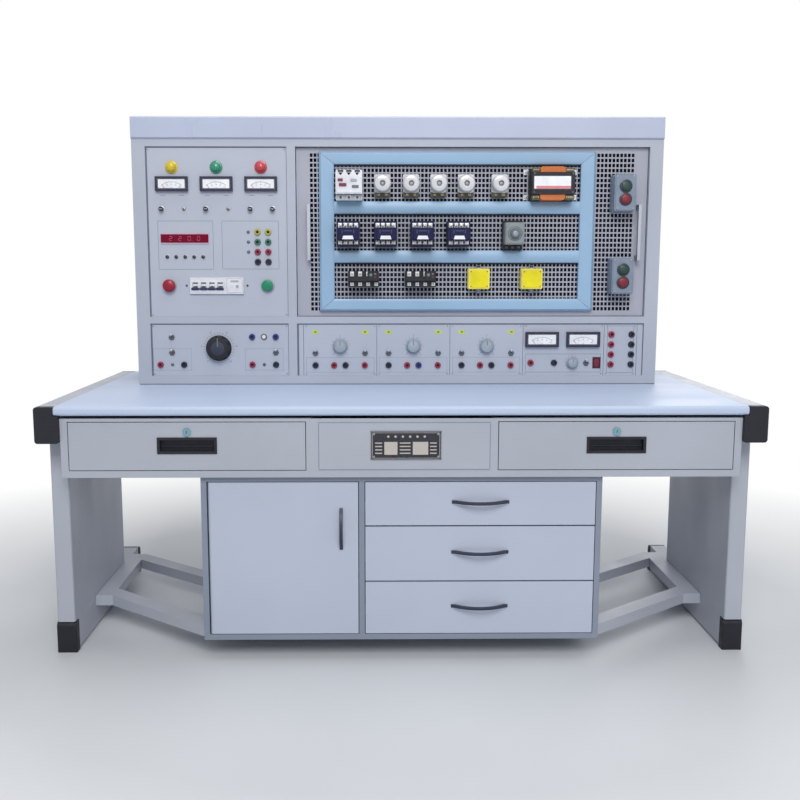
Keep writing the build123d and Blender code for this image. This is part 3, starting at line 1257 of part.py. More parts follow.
# Isolating transformer on the floor of the console
CORE_FLOOR = CONSOLE_BOTTOM + CONSOLE_SHEET
CORE_Y = (CONSOLE_FACE + CONSOLE_REAR) / 2 + CORE_OFFSET
with BuildPart() as isolating_transformer:
    core_heights = (CORE_FLOOR, CORE_FLOOR + CORE_SIZE[2])
    block(around(CORE_X, CORE_SIZE[0]), around(CORE_Y, CORE_SIZE[1]), core_heights)
    block(
        around(CORE_X, CORE_COIL[0]),
        around(CORE_Y, CORE_COIL[1]),
        around((core_heights[0] + core_heights[1]) / 2, CORE_COIL[2]),
    )
keep(isolating_transformer, "isolating_transformer")

# Supply circuit board on four pillars
with BuildPart() as supply_board:
    deck = CORE_FLOOR + PILLAR_HEIGHT
    block(
        around(CIRCUIT_BOARD_X, CIRCUIT_BOARD[0]),
        around(CORE_Y, CIRCUIT_BOARD[1]),
        (deck, deck + CIRCUIT_BOARD[2]),
    )
    with Locations((CIRCUIT_BOARD_X, CORE_Y, CORE_FLOOR + PILLAR_HEIGHT / 2)):
        with GridLocations(CIRCUIT_BOARD[0] - 2 * PILLAR_INSET, CIRCUIT_BOARD[1] - 2 * PILLAR_INSET, 2, 2):
            Cylinder(PILLAR_RADIUS, PILLAR_HEIGHT)
    for step, size in enumerate(CHIP_SIZES):
        block(
            around(CIRCUIT_BOARD_X + (step - 1) * CHIP_PITCH, size[0]),
            around(CORE_Y, size[1]),
            (deck + CIRCUIT_BOARD[2], deck + CIRCUIT_BOARD[2] + size[2]),
        )
keep(supply_board, "supply_board")


def upright_loop(x, z):
    """Closed rectangular wire at the back of the board."""
    corners = [(x[0], z[0]), (x[1], z[0]), (x[1], z[1]), (x[0], z[1])]
    return Wire.make_polygon([(side, BOARD_BACK, height) for side, height in corners])


# Perforated board with cheeks that run on the guide rails
HOLE_MIDDLE = ((BOARD_X[0] + BOARD_X[1]) / 2 + HOLE_SHIFT, (BOARD_Z[0] + BOARD_Z[1]) / 2)
HOLE_XS = [HOLE_MIDDLE[0] + (step - (HOLE_COLUMNS - 1) / 2) * HOLE_PITCH_X for step in range(HOLE_COLUMNS)]
HOLE_ZS = [HOLE_MIDDLE[1] + (step - (HOLE_ROWS - 1) / 2) * HOLE_PITCH_Z for step in range(HOLE_ROWS)]
holes = [upright_loop(around(x, HOLE_WIDTH), around(z, HOLE_HEIGHT)) for x in HOLE_XS for z in HOLE_ZS]
perforated_face = Face(upright_loop(BOARD_X, BOARD_Z), holes)
with BuildPart() as mesh_board:
    extrude(perforated_face, amount=BOARD_SHEET, dir=(0, -1, 0))
    for low in (BOARD_X[0], BOARD_X[1] - BOARD_SHEET):
        block((low, low + BOARD_SHEET), (BOARD_FACE, BOARD_BACK + BOARD_CHEEK), BOARD_Z)
keep(mesh_board, "mesh_board")


def board_frame_outline(wall):
    """Members of the frame on the board, drawn inside their outline by a wall."""
    window((BLUE_X[0] + wall, BLUE_X[1] - wall), (BLUE_Z[0] + wall, BLUE_Z[1] - wall))
    for low in ROW_LOWS:
        window((ROW_X[0] - wall, ROW_X[1] + wall), (low - wall, low + ROW_HEIGHT + wall), Mode.SUBTRACT)


# Frame of pressed members with two cross bars that divides the board in three rows, hollow from behind
with BuildPart() as board_frame:
    with BuildSketch(facing(BOARD_FACE)):
        board_frame_outline(0)
    extrude(amount=BLUE_FRAME_DEPTH)
    chamfer(board_frame.faces().sort_by(Axis.Y)[0].outer_wire().edges(), BLUE_FRAME_BEVEL)
    with BuildSketch(facing(BOARD_FACE)):
        board_frame_outline(BLUE_FRAME_SKIN)
    extrude(amount=BLUE_FRAME_DEPTH - BLUE_FRAME_BEVEL, mode=Mode.SUBTRACT)
keep(board_frame, "board_frame")


def grip(x, z):
    """Upright U-shaped grip on the board."""
    ends = around(z, GRIP_LENGTH)
    block(around(x, GRIP_BAR), (BOARD_FACE - GRIP_REACH, BOARD_FACE - GRIP_REACH + GRIP_BAR), ends)
    block(around(x, GRIP_BAR), (BOARD_FACE - GRIP_REACH, BOARD_FACE), (ends[0], ends[0] + GRIP_POST))
    block(around(x, GRIP_BAR), (BOARD_FACE - GRIP_REACH, BOARD_FACE), (ends[1] - GRIP_POST, ends[1]))


# Grips at the two sides of the board
GRIP_XS = (BOARD_X[0] + GRIP_INSETS[0], BOARD_X[1] - GRIP_INSETS[1])
with BuildPart() as board_handles:
    for x in GRIP_XS:
        grip(x, (BOARD_Z[0] + BOARD_Z[1]) / 2)
keep(board_handles, "board_handles")

# Short lengths of top-hat mounting rail, hidden behind the devices that clip on them
RAIL_SEATS = [(x, ROW_MIDDLE, CONTACTOR_SIZE[0]) for x in CONTACTOR_XS]
RAIL_SEATS += [(TIMER_X, ROW_MIDDLE, TIMER_SIZE[0])]
RAIL_SEATS += [(x, ROW_BOTTOM, THERMAL_SIZE[0]) for x in THERMAL_XS]
with BuildPart() as din_rails:
    for x, z, width in RAIL_SEATS:
        span = around(x, width - 2 * RAIL_INSET)
        block(span, (RAIL_FACE, RAIL_FACE + RAIL_SHEET), around(z, RAIL_HEIGHT))
        block(span, (RAIL_FACE, BOARD_FACE), around(z, RAIL_CROWN))
keep(din_rails, "din_rails")


def device(x, z, size, back):
    """Main block of a device that stands on the board, given its width, depth and height."""
    block(around(x, size[0]), (back - size[1], back), around(z, size[2]))


# Motor protection breaker in the top row
MOTOR_BREAKER_Z = ROW_TOP - MOTOR_BREAKER_DROP
with BuildPart() as motor_breaker:
    device(MOTOR_BREAKER_X, MOTOR_BREAKER_Z, MOTOR_BREAKER_SIZE, BOARD_FACE)
    face = BOARD_FACE - MOTOR_BREAKER_SIZE[1]
    keys = [(MOTOR_BREAKER_X + side * MOTOR_KEY_SPREAD, MOTOR_BREAKER_Z) for side in (-1, 1)]
    pegs(keys, (face - BEZEL_HEIGHT, face), MOTOR_KEY_RADIUS)
keep(motor_breaker, "motor_breaker")

# Screw fuses: a base with a neck and a round porcelain cap
with BuildPart() as screw_fuses:
    for x in FUSE_XS:
        device(x, ROW_TOP - FUSE_BASE_DROP, FUSE_BASE, BOARD_FACE)
    neck = BOARD_FACE - FUSE_BASE[1]
    shoulder = neck - FUSE_NECK_LENGTH
    pegs([(x, ROW_TOP) for x in FUSE_XS], (shoulder, neck), FUSE_NECK_RADIUS)
    pegs([(x, ROW_TOP) for x in FUSE_XS], (neck - FUSE_CAP_LENGTH, shoulder), FUSE_CAP_RADIUS)
    caps = screw_fuses.faces().filter_by(Plane.XZ).group_by(Axis.Y)[0]
    fillet(caps.edges(), FUSE_CAP_EDGE)
keep(screw_fuses, "screw_fuses")

# Control transformer: laminated core, coil and terminal strips
with BuildPart() as board_transformer:
    device(TRANSFORMER_X, ROW_TOP, TRANSFORMER_SIZE, BOARD_FACE)
    coil_back = BOARD_FACE - (TRANSFORMER_SIZE[1] - TRANSFORMER_COIL[1]) / 2
    device(TRANSFORMER_X, ROW_TOP, TRANSFORMER_COIL, coil_back)
    for side in (-1, 1):
        device(
            TRANSFORMER_X,
            ROW_TOP + side * (TRANSFORMER_SIZE[2] + TERMINAL_STRIP[2]) / 2,
            TERMINAL_STRIP,
            BOARD_FACE,
        )
keep(board_transformer, "board_transformer")

# Contactors with stepped noses
with BuildPart() as contactors:
    for x in CONTACTOR_XS:
        base = (CONTACTOR_SIZE[0], CONTACTOR_SIZE[1] - CONTACTOR_STEP, CONTACTOR_SIZE[2])
        device(x, ROW_MIDDLE, base, RAIL_FACE)
        device(x, ROW_MIDDLE, (CONTACTOR_SIZE[0], CONTACTOR_SIZE[1], CONTACTOR_NOSE_HEIGHT), RAIL_FACE)
keep(contactors, "contactors")

# Timer relay and its setting dial
TIMER_FACE = RAIL_FACE - TIMER_SIZE[1]
with BuildPart() as timer_relay:
    device(TIMER_X, ROW_MIDDLE, TIMER_SIZE, RAIL_FACE)
    shaft_bore = (TIMER_FACE, TIMER_FACE + TIMER_BORE)
    pegs([(TIMER_X, ROW_MIDDLE)], shaft_bore, KNOB_SHAFT_RADIUS + SHAFT_GAP, Mode.SUBTRACT)
keep(timer_relay, "timer_relay")
dial_sizes = (TIMER_DIAL_RADIUS, TIMER_DIAL_HEIGHT, TIMER_DIAL_SKIRT)
keep(turning_knob((TIMER_X, ROW_MIDDLE), *dial_sizes, TIMER_FACE, TIMER_SHAFT), "timer_dial")

# Thermal overload relays with stepped terminals
with BuildPart() as thermal_relays:
    for x in THERMAL_XS:
        base = (THERMAL_SIZE[0], THERMAL_SIZE[1] - THERMAL_STEP, THERMAL_SIZE[2])
        device(x, ROW_BOTTOM, base, RAIL_FACE)
        device(x, ROW_BOTTOM, (THERMAL_SIZE[0], THERMAL_SIZE[1], THERMAL_NOSE_HEIGHT), RAIL_FACE)
keep(thermal_relays, "thermal_relays")

# Limit switches with plungers on top
with BuildPart() as limit_switches:
    for x in SWITCH_XS:
        device(x, ROW_BOTTOM, SWITCH_SIZE, BOARD_FACE)
        top = ROW_BOTTOM + SWITCH_SIZE[2] / 2
        upright_peg(x, BOARD_FACE - SWITCH_SIZE[1] / 2, (top, top + PLUNGER_LENGTH), PLUNGER_RADIUS)
keep(limit_switches, "limit_switches")

# Two push-button stations at the right of the board
STATION_FACE = BOARD_FACE - STATION_SIZE[1]
STATION_BUTTONS = [
    (f"station_{level}_{role}", (STATION_X, z + side * STATION_BUTTON_SPREAD))
    for level, z in zip(("upper", "lower"), STATION_ZS)
    for role, side in (("start", 1), ("stop", -1))
]
with BuildPart() as button_stations:
    for z in STATION_ZS:
        device(STATION_X, z, STATION_SIZE, BOARD_FACE)
    rims = [point for name, point in STATION_BUTTONS]
    bore = (STATION_FACE - STATION_RIM, STATION_FACE + BUTTON_STEM + BUTTON_TRAVEL)
    pegs(rims, (STATION_FACE - STATION_RIM, STATION_FACE), STATION_RIM_RADIUS)
    pegs(rims, bore, STATION_BUTTON_RADIUS + SHAFT_GAP, Mode.SUBTRACT)
keep(button_stations, "button_stations")
for name, point in STATION_BUTTONS:
    with BuildPart() as station_button:
        depths = (STATION_FACE - STATION_RIM - BUTTON_TRAVEL, STATION_FACE + BUTTON_STEM - SEAT_GAP)
        pegs([point], depths, STATION_BUTTON_RADIUS)
        fillet(station_button.faces().sort_by(Axis.Y)[0].edges(), STATION_BUTTON_EDGE)
    keep(station_button, name)
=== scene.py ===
"""Looks of the electrical control training bench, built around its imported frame."""

import json
import math

import bmesh
import bpy
import numpy as np
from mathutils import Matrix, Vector


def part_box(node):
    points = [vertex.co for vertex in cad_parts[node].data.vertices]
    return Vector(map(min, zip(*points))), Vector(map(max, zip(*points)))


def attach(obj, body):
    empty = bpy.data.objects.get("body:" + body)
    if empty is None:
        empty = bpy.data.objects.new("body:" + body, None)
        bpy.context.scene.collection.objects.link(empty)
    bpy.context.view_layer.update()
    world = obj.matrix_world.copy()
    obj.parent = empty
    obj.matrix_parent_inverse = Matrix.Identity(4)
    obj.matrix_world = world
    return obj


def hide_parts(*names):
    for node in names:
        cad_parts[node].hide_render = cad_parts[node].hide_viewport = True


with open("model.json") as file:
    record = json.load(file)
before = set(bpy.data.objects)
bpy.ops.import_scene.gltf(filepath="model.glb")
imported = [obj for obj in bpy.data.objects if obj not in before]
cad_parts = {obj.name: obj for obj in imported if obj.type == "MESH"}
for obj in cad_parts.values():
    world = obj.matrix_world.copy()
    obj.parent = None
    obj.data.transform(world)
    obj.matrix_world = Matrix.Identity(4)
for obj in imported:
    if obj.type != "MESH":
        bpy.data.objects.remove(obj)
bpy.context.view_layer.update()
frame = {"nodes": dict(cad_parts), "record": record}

# Sizes are in millimetres unless a name says otherwise. Axes: X right, Y away from the user, Z up.
MM = 0.001
EDGE = 0.5
SHARP_ANGLE = math.radians(38)
ROW_TOLERANCE = 12
INK_THICKNESS = 0.15

# Camera, solved from the corners of the tabletop, console, feet and cabinet in the 800 pixel photograph
FRAME_PIXELS = 800
FOCAL_PIXELS = 900
PRINCIPAL_PIXEL = (381.87, 384.32)
SENSOR = 36
CAMERA_PLACE_M = (-0.0758, -2.701, 1.050)
CAMERA_PITCH_DOWN = 0.1282
CAMERA_TURN_RIGHT = 0.0099


class Block:
    """Box around points: its six sides, the middle of its face, and its size across and up."""

    def __init__(self, points):
        low, high = Vector(points.min(axis=0)), Vector(points.max(axis=0))
        self.left, self.front, self.bottom = low
        self.right, self.back, self.top = high
        middle = (low + high) / 2
        self.x, self.z = middle.x, middle.z
        self.wide = self.right - self.left
        self.tall = self.top - self.bottom
        self.across = (self.left, self.right)
        self.levels = (self.bottom, self.top)


def whole(node):
    """Box of a whole CAD node."""
    return Block(np.array(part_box(node)) / MM)


def solids(node):
    """Boxes of the separate solids of a CAD node, read in rows from the top and from left to right."""
    mesh = frame["nodes"][node].data
    flat = np.zeros(len(mesh.vertices) * 3)
    mesh.vertices.foreach_get("co", flat)
    points, place = np.unique(np.round(flat.reshape(-1, 3) / MM, 3), axis=0, return_inverse=True)
    place = place.ravel()
    leader = list(range(len(points)))

    def lead(index):
        while leader[index] != index:
            leader[index] = leader[leader[index]]
            index = leader[index]
        return index

    for edge in mesh.edges:
        first, second = (lead(place[vertex]) for vertex in edge.vertices)
        leader[first] = second
    groups = {}
    for index in range(len(points)):
        groups.setdefault(lead(index), []).append(index)
    return reading_order(Block(points[members]) for members in groups.values())


def reading_order(blocks):
    """Blocks sorted in rows from the top down, and each row from left to right."""
    rows = []
    for block in sorted(blocks, key=lambda block: -block.z):
        if rows and rows[-1][0].z - block.z < ROW_TOLERANCE:
            rows[-1].append(block)
        else:
            rows.append([block])
    return [block for row in rows for block in sorted(row, key=lambda block: block.x)]


def on_panel(blocks, panel):
    """The blocks whose middle lies on a panel, seen from the front."""
    return [
        block for block in blocks
        if panel.left < block.x < panel.right and panel.bottom < block.z < panel.top
    ]


def around(middle, width):
    """Lower and upper limit of a width about its middle."""
    return (middle - width / 2, middle + width / 2)


def inside(limits, inset):
    """Limits moved in by an inset at both ends."""
    return (limits[0] + inset, limits[1] - inset)


# Recipes of the finishes


def tint(red, green, blue):
    """Linear colour of a display colour given as 0 to 255."""
    return tuple(((value / 255 + 0.055) / 1.055) ** 2.4 for value in (red, green, blue)) + (1.0,)


def shade(colour, factor):
    """A colour made lighter or darker by a factor."""
    return tuple(min(1.0, value * factor) for value in colour[:3]) + (1.0,)


class Finish:
    """A procedural material under construction."""

    def __init__(self, name, colour, roughness, metallic=0.0):
        self.material = bpy.data.materials.new(name)
        self.material.use_nodes = True
        self.tree = self.material.node_tree
        self.shader = self.tree.nodes["Principled BSDF"]
        self.shader.inputs["Metallic"].default_value = metallic
        self.shader.inputs["Base Color"].default_value = colour
        self.shader.inputs["Roughness"].default_value = roughness
        self.place = self.tree.nodes.new("ShaderNodeTexCoord").outputs["Object"]
        self.material.diffuse_color = colour

    def add(self, kind, inputs, **settings):
        """Adds a node, sets or links its inputs, and returns it."""
        node = self.tree.nodes.new(kind)
        for name, value in settings.items():
            setattr(node, name, value)
        for name, value in inputs.items():
            if isinstance(value, bpy.types.NodeSocket):
                self.tree.links.new(value, node.inputs[name])
            else:
                node.inputs[name].default_value = value
        return node

    def noise(self, scale, detail=2.0, stretch=(1, 1, 1)):
        """Noise of so many cells per metre, between 0 and 1."""
        place = self.add("ShaderNodeMapping", {"Vector": self.place, "Scale": stretch}).outputs["Vector"]
        inputs = {"Vector": place, "Scale": scale, "Detail": detail}
        return self.add("ShaderNodeTexNoise", inputs).outputs["Fac"]

    def stripes(self, scale, direction):
        """Even stripes of so many per metre along an axis, between 0 and 1."""
        inputs = {"Vector": self.place, "Scale": scale / 2}
        return self.add("ShaderNodeTexWave", inputs, bands_direction=direction).outputs["Fac"]

    def spread(self, value, low, high, start=0.3, end=0.7):
        """Maps a value from one range to another, clamped."""
        inputs = {"Value": value, "From Min": start, "From Max": end, "To Min": low, "To Max": high}
        return self.add("ShaderNodeMapRange", inputs).outputs["Result"]

    def product(self, first, second):
        """Product of two values."""
        node = self.add("ShaderNodeMath", {0: first, 1: second}, operation="MULTIPLY")
        return node.outputs["Value"]

    def blend(self, factor, first, second):
        """Mix of two colours."""
        node = self.add("ShaderNodeMix", {0: factor, 6: first, 7: second}, data_type="RGBA")
        return node.outputs[2]

    def rounded(self, radius):
        """Shading normal with the edges rounded off, radius in millimetres."""
        return self.add("ShaderNodeBevel", {"Radius": radius * MM}, samples=4).outputs["Normal"]

    def edges(self, radius):
        """Mask that is 1 along the outer edges."""
        flat = self.add("ShaderNodeNewGeometry", {}).outputs["Normal"]
        vectors = {0: self.rounded(radius), 1: flat}
        along = self.add("ShaderNodeVectorMath", vectors, operation="DOT_PRODUCT").outputs["Value"]
        return self.spread(along, 1.0, 0.0, 0.80, 0.98)

    def relief(self, height, depth, normal=None):
        """Normal of a bump whose height runs over so many millimetres."""
        inputs = {"Height": height, "Strength": 1.0, "Distance": depth * MM}
        if normal is not None:
            inputs["Normal"] = normal
        return self.add("ShaderNodeBump", inputs).outputs["Normal"]

    def wire(self, colour=None, roughness=None, normal=None):
        """Links the worked-out colour, roughness and normal to the shader, and returns the material."""
        for name, value in (("Base Color", colour), ("Roughness", roughness), ("Normal", normal)):
            if value is not None:
                self.tree.links.new(value, self.shader.inputs[name])
        return self.material


def paint(name, colour, roughness=0.42, tone=0.05, wear=0.25):
    """Stoved paint on sheet steel: faint orange peel, uneven tone, rubbed edges."""
    finish = Finish(name, colour, roughness)
    cloud = finish.noise(2.6, 4.0)
    toned = finish.blend(finish.spread(cloud, 0, 1), shade(colour, 1 - tone), shade(colour, 1 + tone))
    rubbed = finish.product(finish.edges(1.6), finish.spread(finish.noise(34, 3.0), 0, wear, 0.45, 0.7))
    worn = finish.blend(rubbed, toned, shade(colour, 1.35))
    smears = finish.spread(finish.noise(11, 3.0, (1, 1, 0.35)), roughness - 0.06, roughness + 0.10)
    peel = finish.relief(finish.noise(720, 1.0), 0.05, finish.rounded(0.9))
    return finish.wire(worn, smears, peel)


def moulded(name, colour, roughness=0.45, grain=0.04, gloss=0.0, shine=0.5):
    """Moulded plastic: fine spark-eroded grain, slight flow marks, and a painted highlight that lightens
    every edge.
    """
    finish = Finish(name, colour, roughness)
    finish.shader.inputs["Specular IOR Level"].default_value = shine
    finish.shader.inputs["Coat Weight"].default_value = gloss
    finish.shader.inputs["Coat Roughness"].default_value = 0.12
    flow = finish.spread(finish.noise(26, 3.0), 0, 1)
    toned = finish.blend(flow, shade(colour, 0.90), shade(colour, 1.10))
    # Painted highlight: the colour is made lighter along every edge, as if lit there.
    painted_edge_highlight = finish.blend(finish.product(finish.edges(0.8), 0.22), toned, shade(colour, 1.6))
    uneven = finish.spread(finish.noise(60, 2.0), roughness - 0.07, roughness + 0.09)
    skin = finish.relief(finish.noise(1500, 1.0), grain, finish.rounded(0.4))
    return finish.wire(painted_edge_highlight, uneven, skin)


def bare_metal(name, colour, roughness=0.25, brushed=(1, 1, 1)):
    """Plated or brushed metal with fine lines and dull patches."""
    finish = Finish(name, colour, roughness, metallic=1.0)
    lines = finish.noise(900, 2.0, brushed)
    toned = finish.blend(finish.spread(lines, 0, 1), shade(colour, 0.84), shade(colour, 1.08))
    patches = finish.spread(finish.noise(40, 3.0), roughness - 0.05, roughness + 0.14)
    return finish.wire(toned, patches, finish.relief(lines, 0.02, finish.rounded(0.3)))


def laminate(name, colour):
    """Satin laminate of the tabletop: tiny speckles, faint wiping marks and a polished front edge."""
    finish = Finish(name, colour, 0.42)
    finish.shader.inputs["Specular IOR Level"].default_value = 0.2
    speckle = finish.spread(finish.noise(1100, 2.0), 0, 1, 0.42, 0.62)
    cloud = finish.spread(finish.noise(1.7, 3.0), 0, 0.5)
    toned = finish.blend(speckle, shade(colour, 0.95), shade(colour, 1.04))
    shaded = finish.blend(cloud, toned, shade(colour, 0.92))
    wiped = finish.spread(finish.noise(7, 4.0, (0.25, 1, 1)), 0.38, 0.54)
    return finish.wire(shaded, wiped, finish.relief(finish.noise(1400, 1.0), 0.015, finish.rounded(1.0)))


def glaze(name, colour):
    """Glazed porcelain: deep gloss over a slightly uneven body."""
    finish = Finish(name, colour, 0.16)
    finish.shader.inputs["Coat Weight"].default_value = 0.6
    finish.shader.inputs["Coat Roughness"].default_value = 0.05
    toned = finish.blend(finish.spread(finish.noise(55, 3.0), 0, 1), shade(colour, 0.93),
                         shade(colour, 1.04))
    pooled = finish.spread(finish.noise(90, 2.0), 0.12, 0.26)
    return finish.wire(toned, pooled, finish.relief(finish.noise(160, 1.0), 0.08, finish.rounded(0.8)))


def layered(name, colour, dark, pitch, direction, roughness=0.5, metallic=0.0):
    """Stacked sheets or wound wire: even lines with a dark seam between them."""
    finish = Finish(name, colour, roughness, metallic)
    lines = finish.stripes(1 / (pitch * MM), direction)
    seam = finish.spread(lines, 0, 1, 0.15, 0.45)
    toned = finish.blend(seam, dark, colour)
    varied = finish.blend(finish.spread(finish.noise(130, 2.0), 0, 0.35), toned, shade(colour, 0.6))
    return finish.wire(varied, finish.spread(finish.noise(80), roughness - 0.08, roughness + 0.1),
                       finish.relief(lines, 0.12))


def glowing(name, colour, strength, roughness=0.2, gloss=0.5):
    """Lens or segment that looks lit from inside."""
    finish = Finish(name, colour, roughness)
    finish.shader.inputs["Emission Color"].default_value = colour
    finish.shader.inputs["Emission Strength"].default_value = strength
    finish.shader.inputs["Specular IOR Level"].default_value = gloss
    finish.shader.inputs["Coat Weight"].default_value = gloss
    finish.shader.inputs["Coat Roughness"].default_value = 0.06
    toned = finish.blend(finish.spread(finish.noise(240, 2.0), 0, 1), shade(colour, 0.78),
                         shade(colour, 1.15))
    facets = finish.relief(finish.noise(420, 1.0), 0.12, finish.rounded(0.4))
    return finish.wire(toned, finish.spread(finish.noise(120), 0.12, 0.28), facets)


def clear(name):
    """Clear pane in front of a dial, with the faintest smears."""
    finish = Finish(name, (0.92, 0.95, 0.97, 1.0), 0.04)
    finish.shader.inputs["Alpha"].default_value = 0.05
    finish.shader.inputs["Specular IOR Level"].default_value = 0.2
    return finish.wire(roughness=finish.spread(finish.noise(90, 3.0), 0.02, 0.12))


def printed(name, colour):
    """Screen-printed ink, slightly broken up."""
    finish = Finish(name, colour, 0.5)
    broken = finish.spread(finish.noise(900, 2.0), 0, 0.5, 0.5, 0.75)
    thin = finish.blend(broken, colour, shade(colour, 1.6))
    return finish.wire(thin, finish.spread(finish.noise(300), 0.42, 0.6))


# Finishes of each recipe: the colour as shown on a screen, 0 to 255, and what else the recipe takes
FINISHES = {
    paint: {
        "body_paint": ((170, 175, 187),),
        "cabinet_paint": ((181, 189, 207), 0.36, 0.03, 0.12),
        # Carcass grey, darker than the fronts: painted shade for the carcass edges between and around the
        # fronts.
        "carcass_paint": ((130, 139, 156), 0.44, 0.05, 0.2),
        "console_paint": ((173, 179, 193), 0.40),
        "panel_paint": ((177, 183, 198), 0.48, 0.035, 0.1),
        "header_paint": ((176, 185, 208), 0.30, 0.06, 0.1),
        "blue_frame_paint": ((145, 177, 207), 0.38, 0.05, 0.2),
        "mesh_paint": ((166, 168, 182), 0.5, 0.06, 0.1),
    },
    laminate: {
        "tabletop_laminate": ((190, 203, 228),),
    },
    moulded: {
        "black_plastic": ((30, 31, 40), 0.52, 0.07, 0.0, 0.3),
        "bow_plastic": ((44, 49, 68), 0.4, 0.04, 0.0, 0.4),
        "black_gloss": ((28, 30, 44), 0.30, 0.02, 0.2, 0.4),
        "white_plastic": ((222, 223, 230), 0.34, 0.03),
        "grey_plastic": ((160, 167, 176), 0.42, 0.04),
        "timer_plastic": ((130, 138, 142), 0.44, 0.04),
        "dial_grey": ((94, 104, 110), 0.44, 0.03),
        "knob_plastic": ((146, 160, 176), 0.36, 0.03, 0.2),
        "station_plastic": ((126, 139, 157), 0.46, 0.05, 0.0, 0.4),
        "blue_plastic": ((18, 18, 64), 0.46, 0.04, 0.0, 0.22),
        "handle_plastic": ((36, 48, 82), 0.36, 0.03),
        "meter_navy": ((30, 32, 60), 0.38, 0.03, 0.0, 0.4),
        "socket_black": ((34, 36, 56), 0.38, 0.02, 0.0, 0.35),
        "blue_socket": ((32, 42, 116), 0.36, 0.02, 0.1),
        "red_socket": ((148, 28, 62), 0.36, 0.02, 0.1),
        "green_socket": ((34, 112, 88), 0.36, 0.02, 0.1),
        "yellow_socket": ((176, 168, 56), 0.36, 0.02, 0.1),
        "red_plastic": ((144, 12, 42), 0.34, 0.02, 0.1, 0.35),
        "green_plastic": ((8, 126, 90), 0.34, 0.02, 0.1, 0.35),
        "station_red": ((118, 14, 38), 0.34, 0.02, 0.1, 0.4),
        "station_green": ((16, 56, 50), 0.34, 0.02, 0.1, 0.4),
        "yellow_plastic": ((232, 218, 20), 0.42, 0.04, 0.0, 0.35),
        "pale_yellow": ((232, 222, 110), 0.42, 0.04),
        "lime_label": ((192, 206, 92), 0.5, 0.02),
        "olive_base": ((66, 70, 52), 0.5, 0.05),
        "gland_grey": ((118, 118, 146), 0.45, 0.04),
        # Near-black painted as the shade inside the console, behind the board.
        "lining_dark": ((44, 43, 56), 0.7, 0.05, 0.0, 0.2),
        # Near-black painted as the shade inside recesses, slots and openings.
        "dark_behind": ((20, 21, 28), 0.7, 0.05, 0.0, 0.2),
        "circuit_board": ((26, 96, 60), 0.4, 0.05),
        "dial_white": ((238, 240, 246), 0.45, 0.01),
        "rose_label": ((222, 130, 134), 0.45, 0.01),
        # Grey of the strips painted as shadow along the panel openings and at the console's foot.
        "seal_grey": ((104, 111, 128), 0.6, 0.03, 0.0, 0.3),
        "mark_red": ((112, 22, 58), 0.4, 0.03),
        "rocker_red": ((132, 20, 56), 0.36, 0.02, 0.1),
        "rim_pink": ((196, 168, 186), 0.45, 0.02),
    },
    glaze: {
        "porcelain": ((208, 208, 212),),
    },
    layered: {
        "core_steel": ((40, 36, 48), (16, 15, 20), 1.0, "Z", 0.5, 0.3),
        "coil_winding": ((226, 122, 42), (140, 62, 18), 1.6, "Z", 0.42),
    },
    glowing: {
        "yellow_lens": ((200, 180, 36), 0.08, 0.2, 0.35),
        "green_lens": ((18, 130, 100), 0.08),
        "red_lens": ((184, 38, 60), 0.08),
        "clear_lens": ((70, 78, 96), 0.02),
        "display_red": ((112, 14, 46), 0.05, 0.4, 0.06),
        "digit_red": ((190, 78, 100), 0.2, 0.4, 0.06),
    },
    clear: {
        "dial_glass": (),
    },
    printed: {
        "ink": ((84, 90, 108),),
        "pale_ink": ((184, 178, 172),),
        "needle_red": ((180, 20, 24),),
        "dial_ink": ((44, 50, 78),),
    },
}

# Bare metals: the linear colour, the roughness and the way it is brushed
METALS = {
    "bright_metal": ((0.50, 0.53, 0.57, 1.0), 0.20),
    "clamp_metal": ((0.56, 0.57, 0.58, 1.0), 0.45),
    "handle_metal": ((0.34, 0.37, 0.42, 1.0), 0.42),
    "zinc_steel": ((0.42, 0.44, 0.47, 1.0), 0.36, (1, 0.05, 0.05)),
    "dark_metal": ((0.12, 0.13, 0.15, 1.0), 0.40),
    "brass": ((0.36, 0.29, 0.18, 1.0), 0.34),
    # Drawer-lock chrome given a teal colour: a painted reflection of the bluish surroundings.
    "lock_chrome_teal_reflection": ((0.20, 0.36, 0.43, 1.0), 0.24),
}

# Finishes of record slots whose name differs, and of nodes that don't show their slot's finish
SLOT_FINISH = {"lamp_plastic": "yellow_lens", "blue_frame": "blue_frame_paint"}
NODE_FINISH = {
    # The carcass takes the darker grey painted as the shade of its edges between the fronts.
    "header_fascia": "header_paint", "cabinet_carcass": "carcass_paint", "panel_meters": "meter_navy",
    "board_handles": "handle_metal", "timer_dial": "dial_grey", "rocker_switch": "rocker_red",
    "drawer_lock_left": "lock_chrome_teal_reflection", "drawer_lock_right": "lock_chrome_teal_reflection",
}

finishes = {name: bare_metal(name, *row) for name, row in METALS.items()}
for recipe, recipe_rows in FINISHES.items():
    for name, row in recipe_rows.items():
        values = [tint(*value) if isinstance(value, tuple) else value for value in row]
        finishes[name] = recipe(name, *values)
node_slot = {part["node"]: part["material_slot"] for part in frame["record"]["subparts"]}


def finish_nodes():
    """Gives each CAD node the finish of its material slot, or one of its own."""
    for name, node in frame["nodes"].items():
        slot = node_slot[name]
        finish = NODE_FINISH.get(name, SLOT_FINISH.get(slot, slot))
        node.data.materials.clear()
        node.data.materials.append(finishes[finish])


# Shapes


def circle(x, z, radius, count=32):
    """Points of a circle on an upright plane, as X and Z."""
    turns = [2 * math.pi * step / count for step in range(count)]
    return [(x + radius * math.cos(turn), z + radius * math.sin(turn)) for turn in turns]


